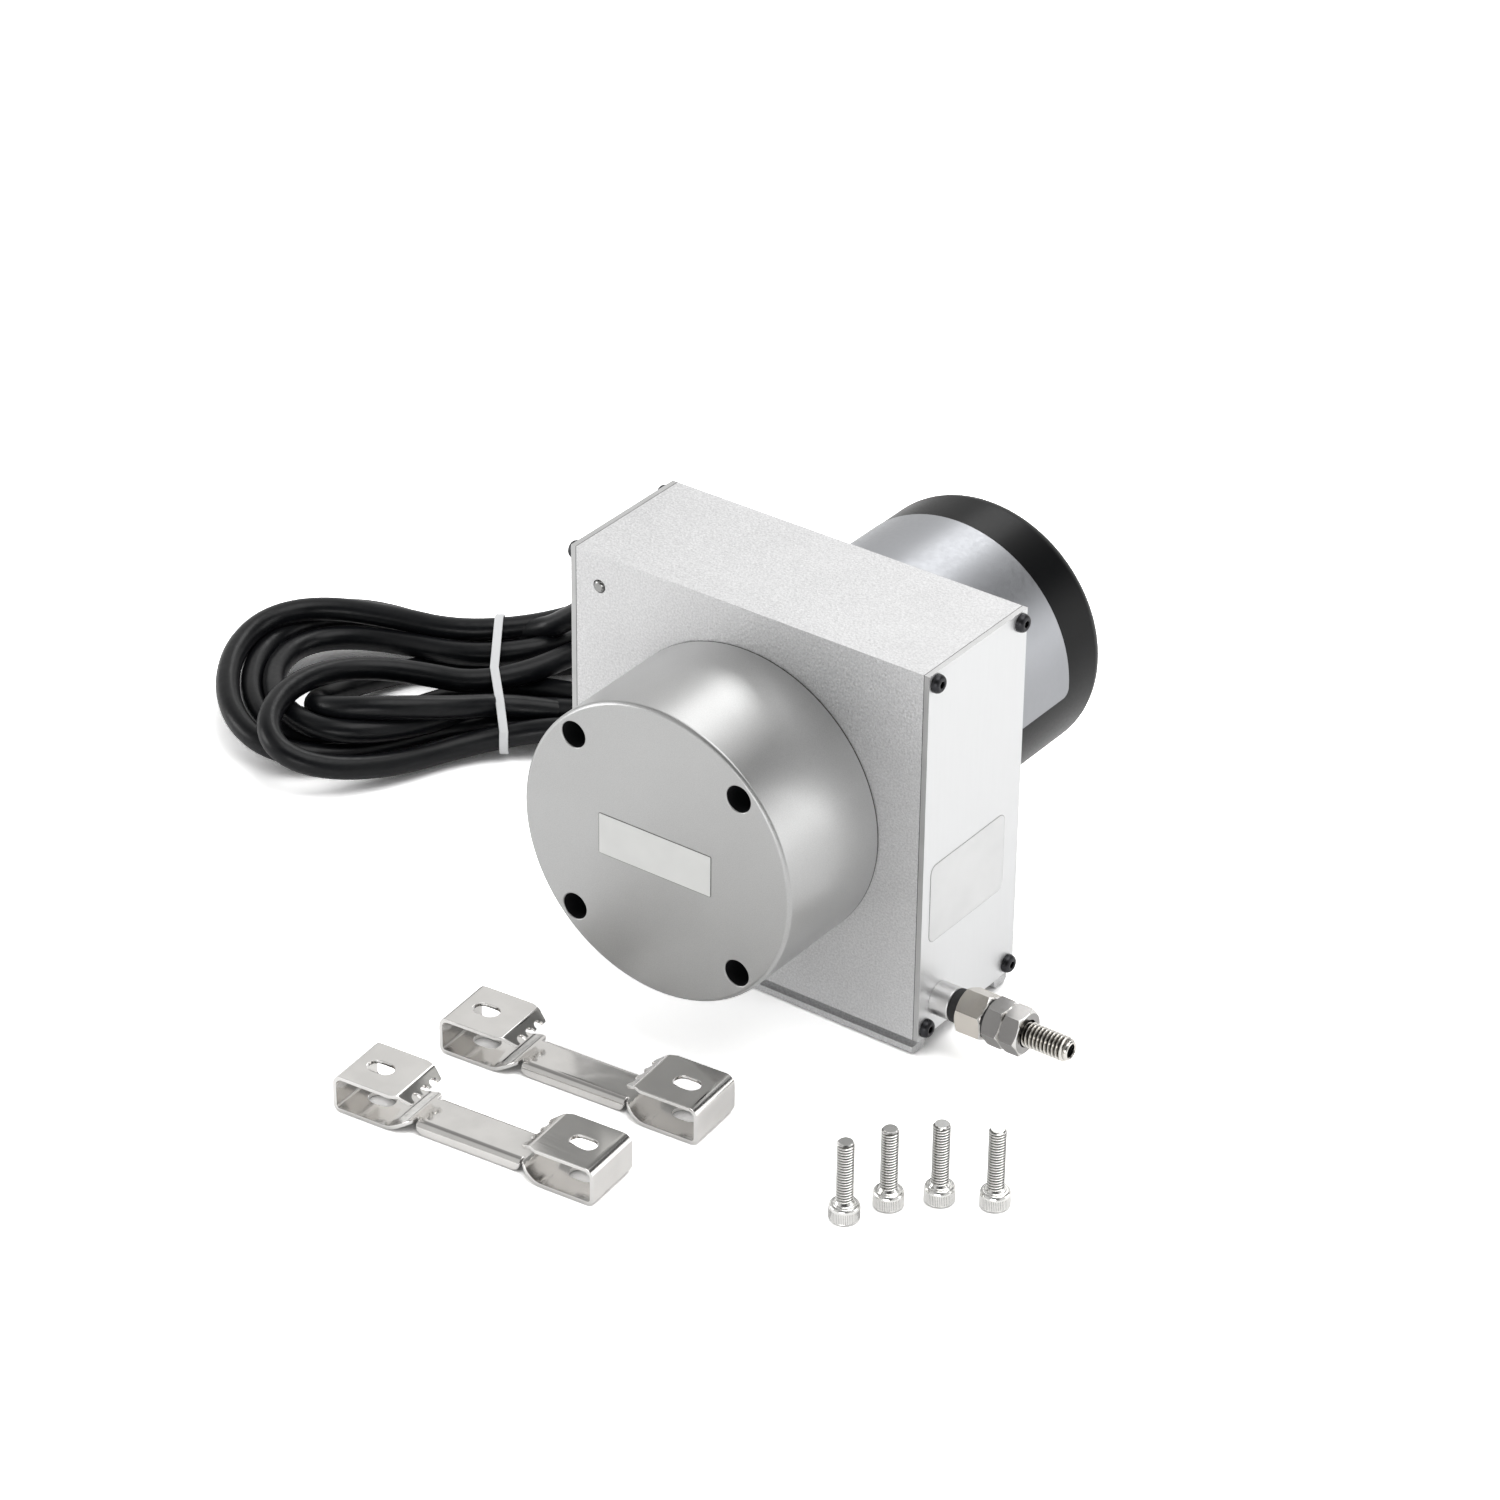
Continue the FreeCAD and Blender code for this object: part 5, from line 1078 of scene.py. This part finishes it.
def clamp_blank():
    bm = bmesh.new()
    quarter = blank_outline()
    half = quarter + [(u, -v) for u, v in reversed(quarter) if v > 1e-6]
    whole = half + [(-u, v) for u, v in reversed(half) if abs(u) > 1e-6]
    closed_line(bm, whole)
    lower = 0.0266 - STATIONS[3][1] + STATIONS[3][0]
    wall_end = STATIONS[8]
    upper = wall_end[0] + wall_end[1] - 0.0266
    for middle in (lower, upper):
        for side in (-1, 1):
            ends = rounded_corner((middle + 0.00115, 0), 0.0022, -90, 90, 10)
            ends += rounded_corner((middle - 0.00115, 0), 0.0022, 90, 270, 10)
            closed_line(bm, [(side * u, v) for u, v in ends])
    bmesh.ops.triangle_fill(bm, use_beauty=True, use_dissolve=True, edges=bm.edges[:])
    outward(bm)
    thickened(bm, SHEET)
    bmesh.ops.translate(bm, vec=(0, 0, -SHEET / 2), verts=bm.verts)
    outward(bm)
    rims = [e for e in bm.edges if e.calc_face_angle(0.0) > 1.2
            and abs(e.verts[0].co.z - e.verts[1].co.z) < 1e-7]
    bmesh.ops.bevel(bm, geom=rims, offset=0.00016, offset_type="OFFSET", segments=2, profile=0.5,
                    affect="EDGES", clamp_overlap=True, material=-1)
    return painted(bm, 1, lambda f: abs(f.normal.z) < 0.93)


def bent_clamp():
    bm = clamp_blank()
    cuts = []
    for one, other in zip(STATIONS, STATIONS[1:]):
        steps = max(1, round(abs((other[0] - one[0]) * one[4]) / math.radians(9)))
        cuts += [one[0] + (other[0] - one[0]) * i / steps for i in range(steps)]
    for cut in cuts[1:]:
        for side in (-1, 1):
            cut_through(bm, (side * cut, 0, 0), (1, 0, 0))
    for step in range(7):
        for side in (-1, 1):
            across = side * (FOLD_AT + FOLD_RADIUS * math.pi / 12 * step)
            near = [f for f in bm.faces if abs(f.calc_center_median().x) < FOLD_END + 0.0002]
            edges = {e for f in near for e in f.edges}
            verts = {v for f in near for v in f.verts}
            bmesh.ops.bisect_plane(bm, geom=list(verts) + list(edges) + near, plane_co=(0, across, 0),
                                   plane_no=(0, 1, 0))
    for vert in bm.verts:
        vert.co = on_sheet(*vert.co)
    return outward(bm)


for node, name, (x, y), degrees in CLAMPS:
    turn = Matrix.Rotation(math.radians(degrees), 4, "Z")
    add_piece(name, put(bent_clamp(), (x, y, 0), turn), (SHEET_STEEL, CORNER_STEEL), FIXED, [node], 38)

# ---- tie round the waist of the hank

def strands_at_tie():
    """Where the cable passes through the tie, as (across, height) in millimetres."""
    c, s = math.cos(HANK_TURN), math.sin(HANK_TURN)
    on_axes = []
    for point in route[len(LEAD):]:
        x, y, z = (point - HANK_AT) / MM
        on_axes.append((x * c + y * s, y * c - x * s, z))
    made = []
    for one, other in zip(on_axes, on_axes[1:]):
        if one[0] * other[0] <= 0 and one[0] != other[0]:
            share = one[0] / (one[0] - other[0])
            made.append(tuple(a + (b - a) * share for a, b in zip(one[1:], other[1:])))
    return made


STRANDS = strands_at_tie()


def tie_outline(away, count=144):
    """The shortest loop round all strands, as (across, height) in millimetres."""
    made = []
    for i in range(count):
        angle = math.tau * i / count
        x, z = math.cos(angle), math.sin(angle)
        across, height = max(STRANDS, key=lambda s: s[0] * x + s[1] * z)
        made.append((across + x * away, height + z * away))
    return made


def tie_lean(across):
    """How far the tie leans along the hank, from its front to its back."""
    low, high = (pick(s[0] for s in STRANDS) for pick in (min, max))
    share = min(1.0, max(0.0, (across - low) / (high - low)))
    return 2.4 * (1 - share) ** 2 - 1.8 * math.sin(share * math.pi)


TIE_THICK = 0.72


def make_tie():
    bm = bmesh.new()
    loops = []
    for away in (LOWEST, LOWEST + TIE_THICK):
        for along in (-1.1, 1.1):
            before = set(bm.edges)
            line = tie_outline(away)
            verts = [bm.verts.new(on_hank(along + tie_lean(n), n, z)) for n, z in line]
            for pair in zip(verts, verts[1:] + verts[:1]):
                bm.edges.new(pair)
            loops.append([e for e in bm.edges if e not in before])
    for one, other in ((0, 1), (1, 3), (3, 2), (2, 0)):
        bmesh.ops.bridge_loops(bm, edges=loops[one] + loops[other])
    return outward(bm)


add_piece("hank_tie", softened(make_tie(), 0.0002, 2, 50), TIE_WHITE, FIXED, ["cable_tie"], 60)

# ---- finishes of the CAD nodes that stay

FINISHES = {
    "blasted_aluminium": ALUMINIUM, "cover_aluminium": COVER, "turned_aluminium": TURNED, "steel": GROUND,
    "black_steel": BLACK_STEEL, "spring_steel": SPRING_STEEL, "wire_steel": WIRE_STEEL_VALLEY_SHADED,
    "cap_black": CAP_BLACK, "brass": BRASS, "circuit_board": BOARD, "disc_glass": DISC, "head_plastic": HEAD,
    "gland_nylon": NYLON, "bush_steel": BUSH_STEEL, "guide_ceramic": CERAMIC, "buffer_rubber": RUBBER,
    "stud_steel": HEX_STEEL, "washer_black": WASHER, "crimp_steel": GROUND, "clamp_steel": SHEET_STEEL,
    "cable_pvc": SHEATH, "tie_nylon": TIE_WHITE, "core_pvc": cores_finish()}
for part in frame["record"]["subparts"]:
    mesh = nodes[part["node"]].data
    mesh.materials.clear()
    mesh.materials.append(FINISHES[part["material_slot"]])

bpy.context.scene.view_settings.view_transform = "Standard"
